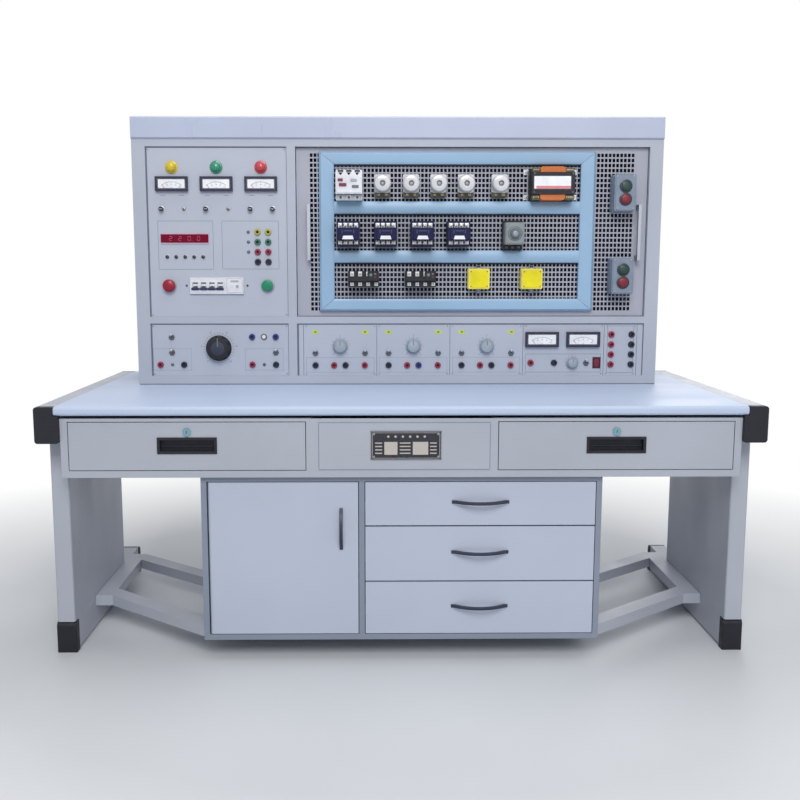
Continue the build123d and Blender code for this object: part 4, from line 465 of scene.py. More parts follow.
def fluted(x, z, radius, depth, flutes, count=6):
    """Outline of a grip with rounded flutes."""
    outline = []
    for step in range(flutes * count):
        turn = 2 * math.pi * step / (flutes * count)
        reach = radius - depth * (0.5 - 0.5 * math.cos(flutes * turn)) ** 2
        outline.append((x + reach * math.cos(turn), z + reach * math.sin(turn)))
    return outline


def upright(outline, y):
    """Points of an outline stood up at a depth."""
    return [(x, y, z) for x, z in outline]


def rectangle(x, z):
    """Corners of a rectangle between limits."""
    return [(x[0], z[0]), (x[1], z[0]), (x[1], z[1]), (x[0], z[1])]


def soft_rectangle(x, z, radius, count=5):
    """Rectangle with round corners."""
    outline = []
    corners = ((x[1], z[1], 0), (x[0], z[1], 1), (x[0], z[0], 2), (x[1], z[0], 3))
    for side, level, quarter in corners:
        middle_x = side + (radius if side == x[0] else -radius)
        middle_z = level + (radius if level == z[0] else -radius)
        for step in range(count + 1):
            turn = math.pi / 2 * (quarter + step / count)
            outline.append((middle_x + radius * math.cos(turn), middle_z + radius * math.sin(turn)))
    return outline


class Shape:
    """Mesh of one piece, gathered in millimetres, with a finish for each face."""

    def __init__(self):
        self.points = []
        self.faces = []
        self.indices = []
        self.finishes = []

    def fill(self, faces, finish):
        """Keeps faces with their finish."""
        if finish not in self.finishes:
            self.finishes.append(finish)
        self.faces += faces
        self.indices += [self.finishes.index(finish)] * len(faces)

    def loft(self, rings, finish):
        """Skins a row of equal rings of points and closes both ends."""
        start = len(self.points)
        size = len(rings[0])
        for ring in rings:
            self.points.extend(ring)
        faces = []
        for row in range(len(rings) - 1):
            here = start + row * size
            for step in range(size):
                after = (step + 1) % size
                faces.append((here + step, here + after, here + size + after, here + size + step))
        last = start + (len(rings) - 1) * size
        faces.append(tuple(range(start + size - 1, start - 1, -1)))
        faces.append(tuple(range(last, last + size)))
        self.fill(faces, finish)

    def prism(self, outline, y, finish):
        """Outline on an upright plane, drawn out between two depths."""
        self.loft([upright(outline, depth) for depth in y], finish)

    def box(self, x, y, z, finish):
        """Block between limits on each axis."""
        self.prism(rectangle(x, z), y, finish)

    def slab(self, x, z, radius, y, finish):
        """Block with round upright corners, between limits on each axis."""
        self.prism(soft_rectangle(x, z, radius), y, finish)

    def peg(self, x, z, y, radius, finish, count=28):
        """Round peg along Y."""
        self.prism(circle(x, z, radius, count), y, finish)

    def turned(self, x, z, y, steps, finish, count=32):
        """Turned form along Y, from pairs of a depth behind y and a radius."""
        self.loft([upright(circle(x, z, radius, count), y + back) for back, radius in steps], finish)

    def outline(self, x, z, y, width, finish):
        """Thin printed rectangle on an upright face at depth y."""
        depths = (y - INK_THICKNESS, y)
        for level in z:
            self.box((x[0], x[1]), depths, around(level, width), finish)
        for side in x:
            self.box(around(side, width), depths, (z[0] + width, z[1] - width), finish)

    def dotted(self, x, z, y, dash, finish):
        """Rectangle of short printed dashes."""
        depths = (y - INK_THICKNESS, y)
        for low in np.arange(x[0], x[1], 2 * dash):
            for level in z:
                self.box((low, low + dash), depths, around(level, dash / 3), finish)
        for low in np.arange(z[0], z[1], 2 * dash):
            for side in x:
                self.box(around(side, dash / 3), depths, (low, low + dash), finish)

    def tick(self, x, z, y, turn, radii, width, finish):
        """Printed mark between two radii, at a turn from upright, clockwise."""
        across = (math.cos(turn) * width / 2, -math.sin(turn) * width / 2)
        along = (math.sin(turn), math.cos(turn))
        corners = []
        for reach, side in ((radii[0], -1), (radii[0], 1), (radii[1], 1), (radii[1], -1)):
            corners.append((x + along[0] * reach + across[0] * side,
                            z + along[1] * reach + across[1] * side))
        self.prism(corners, (y - INK_THICKNESS, y), finish)

    def words(self, text, x, z, y, height, finish):
        """Plain numbers or words, centred, lying on an upright face at depth y."""
        curve = bpy.data.curves.new("words", "FONT")
        curve.body = text
        curve.size = height
        curve.extrude = INK_THICKNESS / 2
        curve.align_x = "CENTER"
        curve.align_y = "CENTER"
        curve.resolution_u = 2
        writer = bpy.data.objects.new("words", curve)
        mesh = bpy.data.meshes.new_from_object(writer)
        start = len(self.points)
        self.points.extend((x + v.co.x, y - INK_THICKNESS / 2 - v.co.z, z + v.co.y) for v in mesh.vertices)
        self.fill([tuple(start + index for index in face.vertices) for face in mesh.polygons], finish)
        bpy.data.objects.remove(writer)
        bpy.data.curves.remove(curve)
        bpy.data.meshes.remove(mesh)

    def screw(self, x, z, y, radius, finish, turn=0.6):
        """Pan-head screw on an upright face, with a cross recess painted as dark shade."""
        crown = y - 0.75 * radius
        reach = (0, 0.62 * radius)
        self.turned(x, z, 0, ((y, radius), (y - 0.5 * radius, radius), (crown, 0.7 * radius)), finish, 16)
        # The cross recess is drawn as dark ticks: painted shade in the slots.
        for quarter in (0, math.pi / 2):
            for half in (0, math.pi):
                self.tick(x, z, crown, turn + quarter + half, reach, 0.25 * radius, "dark_behind")

    def build(self, name, body, edge=EDGE, replaced=()):
        """Makes the piece, rounds its edges and hangs it on its body."""
        mesh = bpy.data.meshes.new(name)
        mesh.from_pydata([(x * MM, y * MM, z * MM) for x, y, z in self.points], [], self.faces)
        for finish in self.finishes:
            mesh.materials.append(finishes[finish])
        mesh.polygons.foreach_set("material_index", self.indices)
        shell = bmesh.new()
        shell.from_mesh(mesh)
        bmesh.ops.recalc_face_normals(shell, faces=shell.faces)
        shell.to_mesh(mesh)
        shell.free()
        mesh.polygons.foreach_set("use_smooth", [True] * len(mesh.polygons))
        mesh.set_sharp_from_angle(angle=SHARP_ANGLE)
        piece = bpy.data.objects.new(name, mesh)
        bpy.context.scene.collection.objects.link(piece)
        if edge:
            bevel = piece.modifiers.new("edge", "BEVEL")
            bevel.width = edge * MM
            bevel.segments = 2
            bevel.limit_method = "ANGLE"
            bevel.angle_limit = SHARP_ANGLE
            bevel.harden_normals = True
        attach(piece, body)
        if replaced:
            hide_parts(*replaced)
        return piece


# Panels and what they carry

upper_panel, lower_panel = solids("power_panels")
FILLER_WIDTH = 30
modules = [
    block for block in sorted(solids("module_panels"), key=lambda block: block.x)
    if block.wide > FILLER_WIDTH
]
PANEL_Y = upper_panel.front
SCALE_SWEEP = math.radians(140)

# Widths that tell the lamps and the switches of one node apart, and the small ones of the fuse holders
PILOT_WIDTH = 25
HOLDER_LIMIT = 19
SWITCH_LIMIT = 30
SMALL_HOLDERS = (1, 3)

LENS_RADIUS = 15.4
METER_MARKS = 21
METER_SWEEP = math.radians(36)
METER_NEEDLE = math.radians(-35)
METER_PIVOT_DROP = 30
LEVER_PITCH = 25
DRUM_RADIUS = 6
LEVER_REST = math.radians(35)
SLOT_HALF_WIDTH = 8.3
SLOT_HALF_HEIGHT = 9.8
COVER_HALF_HEIGHT = 19.8


def dial_scale(shape, node, reach, marks, numbers, height):
    """Printed scale around a knob, from one reach past its edge to another, with some marks numbered."""
    knob = whole(node)
    radii = (knob.wide / 2 + reach[0], knob.wide / 2 + reach[1])
    for mark in range(marks):
        turn = SCALE_SWEEP * (2 * mark / (marks - 1) - 1)
        shape.tick(knob.x, knob.z, PANEL_Y, turn, radii, 0.9, "ink")
        if numbers and mark % numbers == 0:
            out = radii[1] + height * 0.75
            place = (knob.x + out * math.sin(turn), knob.z + out * math.cos(turn))
            shape.words(str(mark // numbers * 2), *place, PANEL_Y, height, "ink")


def pilot_lamps():
    """Domed pilot lamps with ribbed lenses, the small panel lamps, and the white test lamp in its ring."""
    shape = Shape()
    lamps = solids("indicator_lamps")
    large = [lamp for lamp in lamps if lamp.wide > PILOT_WIDTH]
    for lamp, lens in zip(large, ("yellow_lens", "green_lens", "red_lens")):
        radius = lamp.wide / 2
        collar = ((lamp.back, 14), (PANEL_Y, 15), (PANEL_Y, radius), (PANEL_Y - 3, radius),
                  (PANEL_Y - 4.5, radius - 2.5), (PANEL_Y - 4.5, 12))
        shape.turned(lamp.x, lamp.z, 0, collar, lens)
        base = PANEL_Y - 4
        shoulder = base - 3
        steps = [(base, LENS_RADIUS), (shoulder, LENS_RADIUS)]
        for step in range(1, 7):
            turn = math.pi / 2 * step / 6.6
            depth = shoulder - (shoulder - lamp.front) * math.sin(turn)
            steps.append((depth, LENS_RADIUS * math.cos(turn)))
        ribbed = [upright(fluted(lamp.x, lamp.z, reach, 0.09 * reach, 12, 4), depth)
                  for depth, reach in steps]
        shape.loft(ribbed, lens)
    for lamp in lamps:
        if lamp not in large:
            rim = ((lamp.back, 3.6), (PANEL_Y, 3.8), (PANEL_Y, 5.2), (PANEL_Y - 1.2, 5), (PANEL_Y - 1.2, 3))
            shape.turned(lamp.x, lamp.z, 0, rim, "dark_metal", 20)
            shape.turned(lamp.x, lamp.z, PANEL_Y, ((-1, 3.1), (-1.8, 3), (-2.8, 1.6)), "clear_lens", 20)
    tester = on_panel(lamps, lower_panel)[0]
    ring = ((0, 6), (0, 9.5), (-2, 9.5), (-3, 8.6), (-3, 6))
    shape.turned(tester.x, tester.z, PANEL_Y, ring, "dark_metal", 28)
    shape.turned(tester.x, tester.z, PANEL_Y, ((-1, 5.8), (-3.6, 5.6), (-4.2, 4.6)), "white_plastic", 28)
    shape.build("pilot_lamps", "bench", 0.3, ("indicator_lamps",))


def meter_dials():
    """White meter faces with a curved scale, numbers and a needle behind a clear pane."""
    dials = Shape()
    panes = Shape()
    for meter in solids("panel_meters"):
        x, wide, tall = meter.x, meter.wide, meter.tall
        back = meter.front + 4
        paper = back - 0.6
        face = back - 1.2
        levels = around(meter.z, tall - 17)
        dials.slab(around(x, wide - 11.4), around(meter.z, tall - 11.4), 1, (paper, back), "meter_navy")
        dials.slab(around(x, wide - 18), levels, 1.5, (face, paper), "dial_white")
        pivot = levels[0] - METER_PIVOT_DROP
        reach = levels[1] - 6 - pivot
        for mark in range(METER_MARKS):
            turn = METER_SWEEP * (2 * mark / (METER_MARKS - 1) - 1)
            numbered = mark % 5 == 0
            dials.tick(x, pivot, face, turn, (reach - (5 if numbered else 3), reach), 1.0, "dial_ink")
            if numbered:
                place = (x + (reach - 9) * math.sin(turn), pivot + (reach - 9) * math.cos(turn))
                dials.words(str(mark * 5), *place, face, 4.6, "dial_ink")
        dials.tick(x, pivot, face - 0.4, METER_NEEDLE, (METER_PIVOT_DROP + 2, reach - 1), 0.9, "needle_red")
        dials.screw(x, levels[0] + 1.6, face, 1.1, "dark_metal")
        pane = (meter.front + 0.4, meter.front + 1.2)
        panes.slab(around(x, wide - 11), around(meter.z, tall - 11), 1, pane, "dial_glass")
    dials.build("meter_dials", "bench", 0)
    panes.build("meter_panes", "bench", 0.2)


def panel_controls():
    """Fuse holders, lever switches and the bezels of the two push buttons."""
    shape = Shape()
    blocks = solids("panel_switches")
    holders = [block for block in blocks if block.wide < HOLDER_LIMIT]
    switches = [block for block in blocks if HOLDER_LIMIT < block.wide < SWITCH_LIMIT]
    bezels = [block for block in blocks if block.wide > SWITCH_LIMIT]
    for step, holder in enumerate(holders):
        x, z = holder.x, holder.z
        small = step in SMALL_HOLDERS
        radius = 5 if small else 9
        front = holder.front + (7 if small else 0)
        nut = ((holder.back, 5), (PANEL_Y, 5), (PANEL_Y, radius), (PANEL_Y - 2, radius),
               (PANEL_Y - 2.6, radius - 1))
        shape.turned(x, z, 0, nut, "zinc_steel")
        grip = ((PANEL_Y - 2, radius - 1.4), (front + 1.5, radius - 1.8), (front, radius - 3))
        shape.loft([upright(fluted(x, z, reach, 0.5, 16, 4), depth) for depth, reach in grip],
                   "black_gloss")
        shape.box(around(x, 2 * radius - 8), (front - 0.1, front + 0.1), around(z, 1.4), "bright_metal")
    for switch in switches:
        x, z = switch.x, switch.z
        shape.prism(circle(x, z - 1, 9.6, 6), (PANEL_Y - 3, PANEL_Y), "dark_metal")
        bush = ((switch.back, 5), (PANEL_Y - 3, 6.4), (PANEL_Y - 5, 6.4), (PANEL_Y - 5, 4.4),
                (PANEL_Y - 4, 3.6))
        shape.turned(x, z - 1, 0, bush, "dark_metal", 24)
        lever = ((PANEL_Y - 4, 2.2, 0), (PANEL_Y - 9, 2.6, 3.2), (PANEL_Y - 14, 3.6, 6.4),
                 (PANEL_Y - 16, 3.8, 7.6), (switch.front, 2.2, 8.2))
        shape.loft([upright(circle(x, z + lift, radius, 20), depth) for depth, radius, lift in lever],
                   "bright_metal")
    for bezel in bezels:
        shape.turned(bezel.x, bezel.z, PANEL_Y, ((0, 7.4), (0, 21), (-2.5, 21), (-4, 19.5), (-4, 7.4)),
                     "grey_plastic", 40)
    shape.build("panel_controls", "bench", 0.25, ("panel_switches",))


# Finish of each socket in reading order, one row for each panel
SOCKET_FINISHES = {"y": "yellow_socket", "g": "green_socket", "r": "red_socket", "b": "blue_socket",
                   "k": "socket_black"}
SOCKET_ROWS = ("yyggrrkk", "bbrkrk", "krkr", "krbr", "krkr", "rk", "rkrkrkrk")


def sockets():
    """Safety sockets: a coloured collar with a deep bore and a metal sleeve."""
    shape = Shape()
    blocks = solids("socket_terminals")
    for panel, row in zip((upper_panel, lower_panel, *modules), SOCKET_ROWS):
        for block, letter in zip(reading_order(on_panel(blocks, panel)), row):
            front = block.front
            collar = ((block.back, 6), (PANEL_Y, 6), (PANEL_Y, 9.5), (front + 2, 9.5), (front, 8),
                      (front, 4.6), (front + 10, 4.4))
            sleeve = ((9, 3.4), (4.5, 3.4), (4, 3), (4, 2.2), (9, 2.1))
            shape.turned(block.x, block.z, 0, collar, SOCKET_FINISHES[letter], 28)
            shape.turned(block.x, block.z, front, sleeve, "dark_metal", 20)
    shape.build("socket_collars", "bench", 0.25, ("socket_terminals",))


READING = "2200"
SEGMENTS = {"0": "abcdef", "2": "abged"}
DIGIT_PITCH = 28
DIGIT_WIDTH = 8
DIGIT_HALF = 6.5
# Shift right, shift up and whether the segment lies flat
SEGMENT_PLACES = {
    "a": (0, DIGIT_HALF, True), "g": (0, 0, True), "d": (0, -DIGIT_HALF, True),
    "f": (-DIGIT_WIDTH / 2, DIGIT_HALF / 2, False), "b": (DIGIT_WIDTH / 2, DIGIT_HALF / 2, False),
    "e": (-DIGIT_WIDTH / 2, -DIGIT_HALF / 2, False), "c": (DIGIT_WIDTH / 2, -DIGIT_HALF / 2, False),
}


def display():
    """Digital display: thin frame, red filter with seven-segment digits, and a row of keys."""
    shape = Shape()
    window, *keys = solids("display_unit")
    x, z, wide, tall = window.x, window.z, window.wide, window.tall
    face = window.front + 1.2
    rim = window.front + 2.4
    shape.box(around(x, wide - 6), (PANEL_Y, window.back), around(z, tall - 6), "black_gloss")
    shape.slab(around(x, wide), around(z, tall), 2, (rim, PANEL_Y), "rim_pink")
    shape.slab(around(x, wide - 3), around(z, tall - 7), 1.5, (face, rim), "display_red")
    ink = (face - 0.3, face)
    for step, digit in enumerate(READING):
        middle = x + (step - 1.5) * DIGIT_PITCH
        for segment in SEGMENTS[digit]:
            side, lift, flat = SEGMENT_PLACES[segment]
            long, high = (DIGIT_WIDTH - 1.5, 1.5) if flat else (1.5, DIGIT_HALF - 1.2)
            shape.box(around(middle + side, long), ink, around(z + lift, high), "digit_red")
    shape.peg(x + 22, z - DIGIT_HALF, ink, 1, "digit_red", 12)
    for key in keys:
        shape.turned(key.x, key.z, PANEL_Y, ((8, 5), (0, 5), (0, 7.2), (-1.4, 7.2)), "zinc_steel", 24)
        cap = ((PANEL_Y - 1.2, 5.8), (key.front + 0.8, 5.6), (key.front, 4.4))
        shape.turned(key.x, key.z, 0, cap, "black_gloss", 24)
    shape.build("display_front", "bench", 0.2, ("display_unit",))


def lever_poles():
    """Boxes of the breaker and of its levers, and the middle of each pole."""
    body = whole("circuit_breaker")
    levers = whole("breaker_levers")
    return body, levers, [levers.x + (step - 1.5) * LEVER_PITCH for step in range(4)]


def breaker_front():
    """White cover around the levers of the four-pole breaker, and the face of its test part."""
    shape = Shape()
    body, levers, poles = lever_poles()
    nose = body.front + 2
    z = body.z
    bay = (levers.left - 0.2, levers.right + 0.2)
    depth = (nose - 0.3, nose + 14)
    for side in (-1, 1):
        rail = sorted((z + side * SLOT_HALF_HEIGHT, z + side * COVER_HALF_HEIGHT))
        shape.box(bay, depth, rail, "white_plastic")
    edges = [bay[0]] + [x + side * SLOT_HALF_WIDTH for x in poles for side in (-1, 1)] + [bay[1]]
    for ends in zip(edges[::2], edges[1::2]):
        shape.box(ends, depth, around(z, 2 * SLOT_HALF_HEIGHT), "white_plastic")
    levels = around(z, 42)
    right = (levers.right + 6, body.right - 7)
    middle = (right[0] + right[1]) / 2
    key_x = middle + 8
    shape.outline(right, levels, nose, 0.6, "ink")
    shape.slab(around(middle, 24), around(levels[1] - 8, 6), 1, (nose - 0.6, nose), "grey_plastic")
    shape.slab(around(key_x, 8), around(z - 2, 8), 1.5, (nose - 2.6, nose), "grey_plastic")
    shape.words("T", key_x, z - 2, nose - 2.6, 4.5, "ink")
    for side in (-1, 1):
        shape.screw(body.x + side * 92, z, PANEL_Y, 3.2, "dark_metal")
    shape.build("breaker_front", "bench", 0.25)


def breaker_handles():
    """Four dark handles with their tie bar, on white drums."""
    shape = Shape()
    body, levers, poles = lever_poles()
    axis = (levers.back - DRUM_RADIUS, body.z)
    ahead, up = math.cos(LEVER_REST), math.sin(LEVER_REST)

    def section(x, reach, half_width, half_height):
        """Corners across a lever, so far out along it."""
        corners = rectangle((-half_width, half_width), (-half_height, half_height))
        return [(x + side, axis[0] - reach * ahead - lift * up, axis[1] - reach * up + lift * ahead)
                for side, lift in corners]

    for x in poles:
        ring = circle(*axis, DRUM_RADIUS, 28)
        shape.loft([[(side, y, z) for y, z in ring] for side in around(x, 15.6)], "white_plastic")
        steps = ((4, 4.0, 2.3), (12.4, 4.8, 2.6), (14.2, 8.4, 4.2), (18.4, 11.8, 3.6))
        shape.loft([section(x, *step) for step in steps], "handle_plastic")
    bar = [section(levers.x, reach, 1.5 * LEVER_PITCH + 6, 1.5) for reach in (14.6, 17.4)]
    shape.loft(bar, "handle_plastic")
    shape.build("breaker_handles", "breaker_levers", 0.4, ("breaker_levers",))


def panel_print():
    """Printed boxes, dividing lines and knob scales on the panels."""
    shape = Shape()
    left, top = upper_panel.left, upper_panel.top
    shape.outline((left + 31, left + 196), (top - 362, top - 218), PANEL_Y, 0.9, "ink")
    shape.outline((left + 223, left + 393), (top - 361, top - 218), PANEL_Y, 0.9, "ink")
    print_depth = (PANEL_Y - INK_THICKNESS, PANEL_Y)
    for meter in on_panel(solids("panel_meters"), upper_panel):
        for x in (meter.x - 28, meter.x + 28):
            shape.box((x - 8, x + 8), print_depth, around(meter.bottom - 12, 1.1), "ink")
    for lamp in on_panel(solids("indicator_lamps"), lower_panel)[1:]:
        shape.dotted(around(lamp.x, 116), around(lamp.z + 16, 66), PANEL_Y, 3, "ink")
    dial_scale(shape, "regulator_knob", (3, 9), 26, 5, 8)
    for place, panel in zip(("left", "middle", "right"), modules):
        dial_scale(shape, f"module_knob_{place}", (2, 6), 11, 5, 6)
        shape.dotted(inside(panel.across, 8), (panel.bottom + 10, panel.bottom + 56), PANEL_Y, 3, "ink")
    dial_scale(shape, "output_knob", (2, 5), 11, 0, 5)
    output, outlets = modules[3:]
    shape.outline(inside(output.across, 8), (output.bottom + 10, output.bottom + 66), PANEL_Y, 0.9, "ink")
    shape.outline(inside(outlets.across, 10), inside(outlets.levels, 8), PANEL_Y, 0.9, "ink")
    shape.build("panel_print", "bench", 0)


def panel_trim():
    """Corner screws, grey strips painted as the shade along the openings and as the shadow line at the
    console's foot, pale labels, and the rocker switch's frame.
    """
    shape = Shape()
    for panel in (upper_panel, lower_panel, *modules):
        for x in (panel.left + 8, panel.right - 7):
            for z in (panel.bottom + 6, panel.top - 8):
                shape.screw(x, z, PANEL_Y, 2.2, "zinc_steel", x + z)
    for panel in modules[:3]:
        for x in (panel.x - 76, panel.x + 76):
            shape.box(around(x, 20), (PANEL_Y - 0.5, PANEL_Y), around(panel.top - 26, 13), "lime_label")
            shape.box(around(x, 7), (PANEL_Y - 0.7, PANEL_Y - 0.5), around(panel.top - 26, 4), "ink")
    fillers = [block for block in solids("module_panels") if block.wide < FILLER_WIDTH]
    row = (min(block.left for block in fillers), max(block.right for block in fillers))
    # Grey strips painted as the shade in the recess along the top and sides of each opening.
    shadow_strip_depth = (PANEL_Y - 0.6, PANEL_Y)
    for (low, high), panel in ((upper_panel.across, upper_panel), (lower_panel.across, lower_panel),
                               (row, modules[0])):
        under = panel.top - 3.6
        shape.box((low, high), shadow_strip_depth, (under, panel.top), "seal_grey")
        for side in ((low, low + 4.5), (high - 1.5, high)):
            shape.box(side, shadow_strip_depth, (panel.bottom, under), "seal_grey")
    # Grey strip painted as the shadow line where the console meets the tabletop.
    base = whole("console_front_frame")
    foot = (base.bottom, base.bottom + 2.6)
    shape.box(inside(base.across, 2), (base.front - 0.8, base.front), foot, "seal_grey")
    rocker = whole("rocker_switch")
    rim = (PANEL_Y - 1.6, PANEL_Y)
    for z in around(rocker.z, 31):
        shape.box(around(rocker.x, 24), rim, around(z, 3.5), "black_gloss")
    for x in around(rocker.x, 22):
        shape.box(around(x, 2.2), rim, around(rocker.z, 28), "black_gloss")
    shape.build("panel_trim", "bench", 0.2)


def knob(node, flutes, depth, finish, mark, cap):
    """Fluted knob on its shaft, with a skirt, a cap and a pointer line."""
    block = whole(node)
    x, z, front = block.x, block.z, block.front
    radius = block.wide / 2
    skirt = PANEL_Y - 0.2 * (PANEL_Y - front)
    shape = Shape()
    foot = ((block.back, 3), (PANEL_Y - 0.8, 3), (PANEL_Y - 0.8, radius), (skirt, radius),
            (skirt - 1.2, radius - 1.5), (skirt - 1.2, 3))
    shape.turned(x, z, 0, foot, finish, 48)
    grip = ((skirt, radius - 2), (front + 2.2, radius - 4), (front + 0.6, radius - 5.2),
            (front + 0.3, radius - 7))
    shape.loft([upright(fluted(x, z, reach, depth, flutes), y) for y, reach in grip], finish)
    shape.turned(x, z, 0, ((front + 0.5, 0.55 * radius), (front, 0.5 * radius)), cap, 40)
    line = (z + 0.15 * radius, z + radius - 6.5)
    shape.box(around(x, 0.09 * radius), (front - 0.3, front + 1), line, mark)
    shape.box(around(x, 0.08 * radius), (skirt - 1.6, skirt), (z + radius - 4, z + radius - 1.6), mark)
    shape.build(f"{node}_grip", node, 0.3, (node,))


def push_button(node, finish, face, crown):
    """Round push button with a crowned or dished head on its stem."""
    block = whole(node)
    radius = block.wide / 2
    front = block.front
    stem = min(7, radius)
    head = ((block.back, stem), (face, stem), (face, radius - 0.6), (face - 1, radius),
            (front + crown + 1.5, radius), (front + crown, radius - 1.2),
            (front + 0.45 * crown, 0.72 * radius), (front, 0.3 * radius))
    shape = Shape()
    shape.turned(block.x, block.z, 0, head, finish, 44)
    shape.build(f"{node}_head", node, 0.2, (node,))


# The device board

board = whole("mesh_board")
FUSE_CAP_LIFT = 5
SHEET_THICKNESS = 1.6
HOLE_PITCH = (11.5, 14.8)
HOLE_SHARE = 0.70
PLAIN_MARGIN = (39.5, 14)
SIDE_WIDTH = 45
RAIL_WIDTH = 37
MITRE_GAP = 0.35
POLE_PITCH = 15.5
TIMER_MARKS = 21
TIMER_SWEEP = math.radians(135)
STATION_BUTTONS = [f"station_{place}_{kind}" for place in ("upper", "lower") for kind in ("start", "stop")]


def perforated_sheet():
    """Perforated steel sheet with upright rectangular holes, between plain margins and side cheeks."""
    shape = Shape()

    def lines(limits, middle, pitch, share, margin):
        """Places of the hole edges along an axis, between the limits of the sheet."""
        count = int((limits[1] - limits[0] - 2 * margin) // pitch)
        start = middle - count * pitch / 2
        land = pitch * (1 - share) / 2
        places = [limits[0]]
        for hole in range(count):
            places += [start + hole * pitch + land, start + (hole + 1) * pitch - land]
        return places + [limits[1]]

    xs = lines(board.across, board.x, HOLE_PITCH[0], HOLE_SHARE, PLAIN_MARGIN[0])
    zs = lines(board.levels, board.z, HOLE_PITCH[1], HOLE_SHARE, PLAIN_MARGIN[1])
    wide, tall = len(xs), len(zs)
    layer = wide * tall
    depths = (board.front, board.front + SHEET_THICKNESS)
    shape.points = [(x, y, z) for y in depths for z in zs for x in xs]
    faces = []
    for row in range(tall - 1):
        for column in range(wide - 1):
            corner = row * wide + column
            ring = (corner, corner + 1, corner + wide + 1, corner + wide)
            if row % 2 and column % 2:
                for first, second in zip(ring, ring[1:] + ring[:1]):
                    faces.append((first, second, second + layer, first + layer))
            else:
                faces.append(ring)
                faces.append(tuple(index + layer for index in reversed(ring)))
    rim = list(range(wide)) + [row * wide + wide - 1 for row in range(1, tall)]
    rim += [(tall - 1) * wide + column for column in range(wide - 2, -1, -1)]
    rim += [row * wide for row in range(tall - 2, 0, -1)]
    for first, second in zip(rim, rim[1:] + rim[:1]):
        faces.append((second, first, first + layer, second + layer))
    shape.fill(faces, "mesh_paint")
    for low in (board.left, board.right - 2):
        shape.box((low, low + 2), (depths[1], board.back), board.levels, "mesh_paint")
    shape.build("perforated_sheet", "device_board", 0, ("mesh_board",))


def console_backdrop():
    """Dark sheet behind the perforated board, painted as the shade of the unlit inside of the console."""
    shape = Shape()
    # Near-black sheet standing in for the shade seen through the holes.
    shape.box(inside(board.across, 6), (board.back + 4, board.back + 6), inside(board.levels, 6),
              "lining_dark")
    shape.build("console_inside_shade", "bench", 0)


def blue_frame():
    """Frame of mitred, bevelled members with two cross bars, and a dark strip painted as the shadow under
    each opening's top.
    """
    shape = Shape()
    block = whole("board_frame")
    back, front = block.back, block.front
    # Places across a member: as a share of its width up to 1, past that in millimetres
    profile = ((0, back), (0, front + 6.5), (6.5, front), (0.80, front), (0.94, front + 2),
               (1.0, front + 2.6), (1.0, back))
    across, levels = inside(block.across, SIDE_WIDTH), inside(block.levels, RAIL_WIDTH)
    outer, inner = rectangle(block.across, block.levels), rectangle(across, levels)
    for step in range(4):
        ends = []
        for end, shift in ((step, MITRE_GAP), ((step + 1) % 4, -MITRE_GAP)):
            move = shift if step in (0, 1) else -shift
            ring = []
            for share, depth in profile:
                part = share / SIDE_WIDTH if share > 1 else share
                x = outer[end][0] + (inner[end][0] - outer[end][0]) * part
                z = outer[end][1] + (inner[end][1] - outer[end][1]) * part
                ring.append((x, depth, z + move) if step % 2 else (x + move, depth, z))
            ends.append(ring)
        shape.loft(ends, "blue_frame_paint")
    opening = (block.tall - 4 * RAIL_WIDTH) / 3
    for bar in (1, 2):
        low = block.bottom + bar * (opening + RAIL_WIDTH)
        high = low + RAIL_WIDTH
        section = ((low, back), (low, front + 3.6), (low + 3, front + 1.4), (high - 3, front + 1.4),
                   (high, front + 3.6), (high, back))
        shape.loft([[(x, depth, z) for z, depth in section] for x in across], "blue_frame_paint")
    # Dark strips painted as the shadow that the bar above casts on the sheet at the top of each opening.
    for bar in (1, 2, 3):
        level = block.bottom + bar * (opening + RAIL_WIDTH)
        shape.box(across, (back - 5, back), (level - 4, level), "socket_black")
    shape.build("blue_frame_members", "device_board", 0.5, ("board_frame",))


def board_piece(name, edge, node, draw, blocks):
    """Makes the piece that stands for a node of the board, drawn around each of its blocks."""
    shape = Shape()
    for block in blocks:
        draw(shape, block)
    shape.build(name, "device_board", edge, (node,))


def terminals(shape, xs, z, y, size, finish="bright_metal"):
    """Row of screw terminals: a clamp plate with a screw on each."""
    for x in xs:
        shape.box(around(x, size), (y - 1.5, y + 1), around(z, size * 0.8), finish)
        shape.screw(x, z, y - 1.5, 0.34 * size, finish, 0.3 * x)


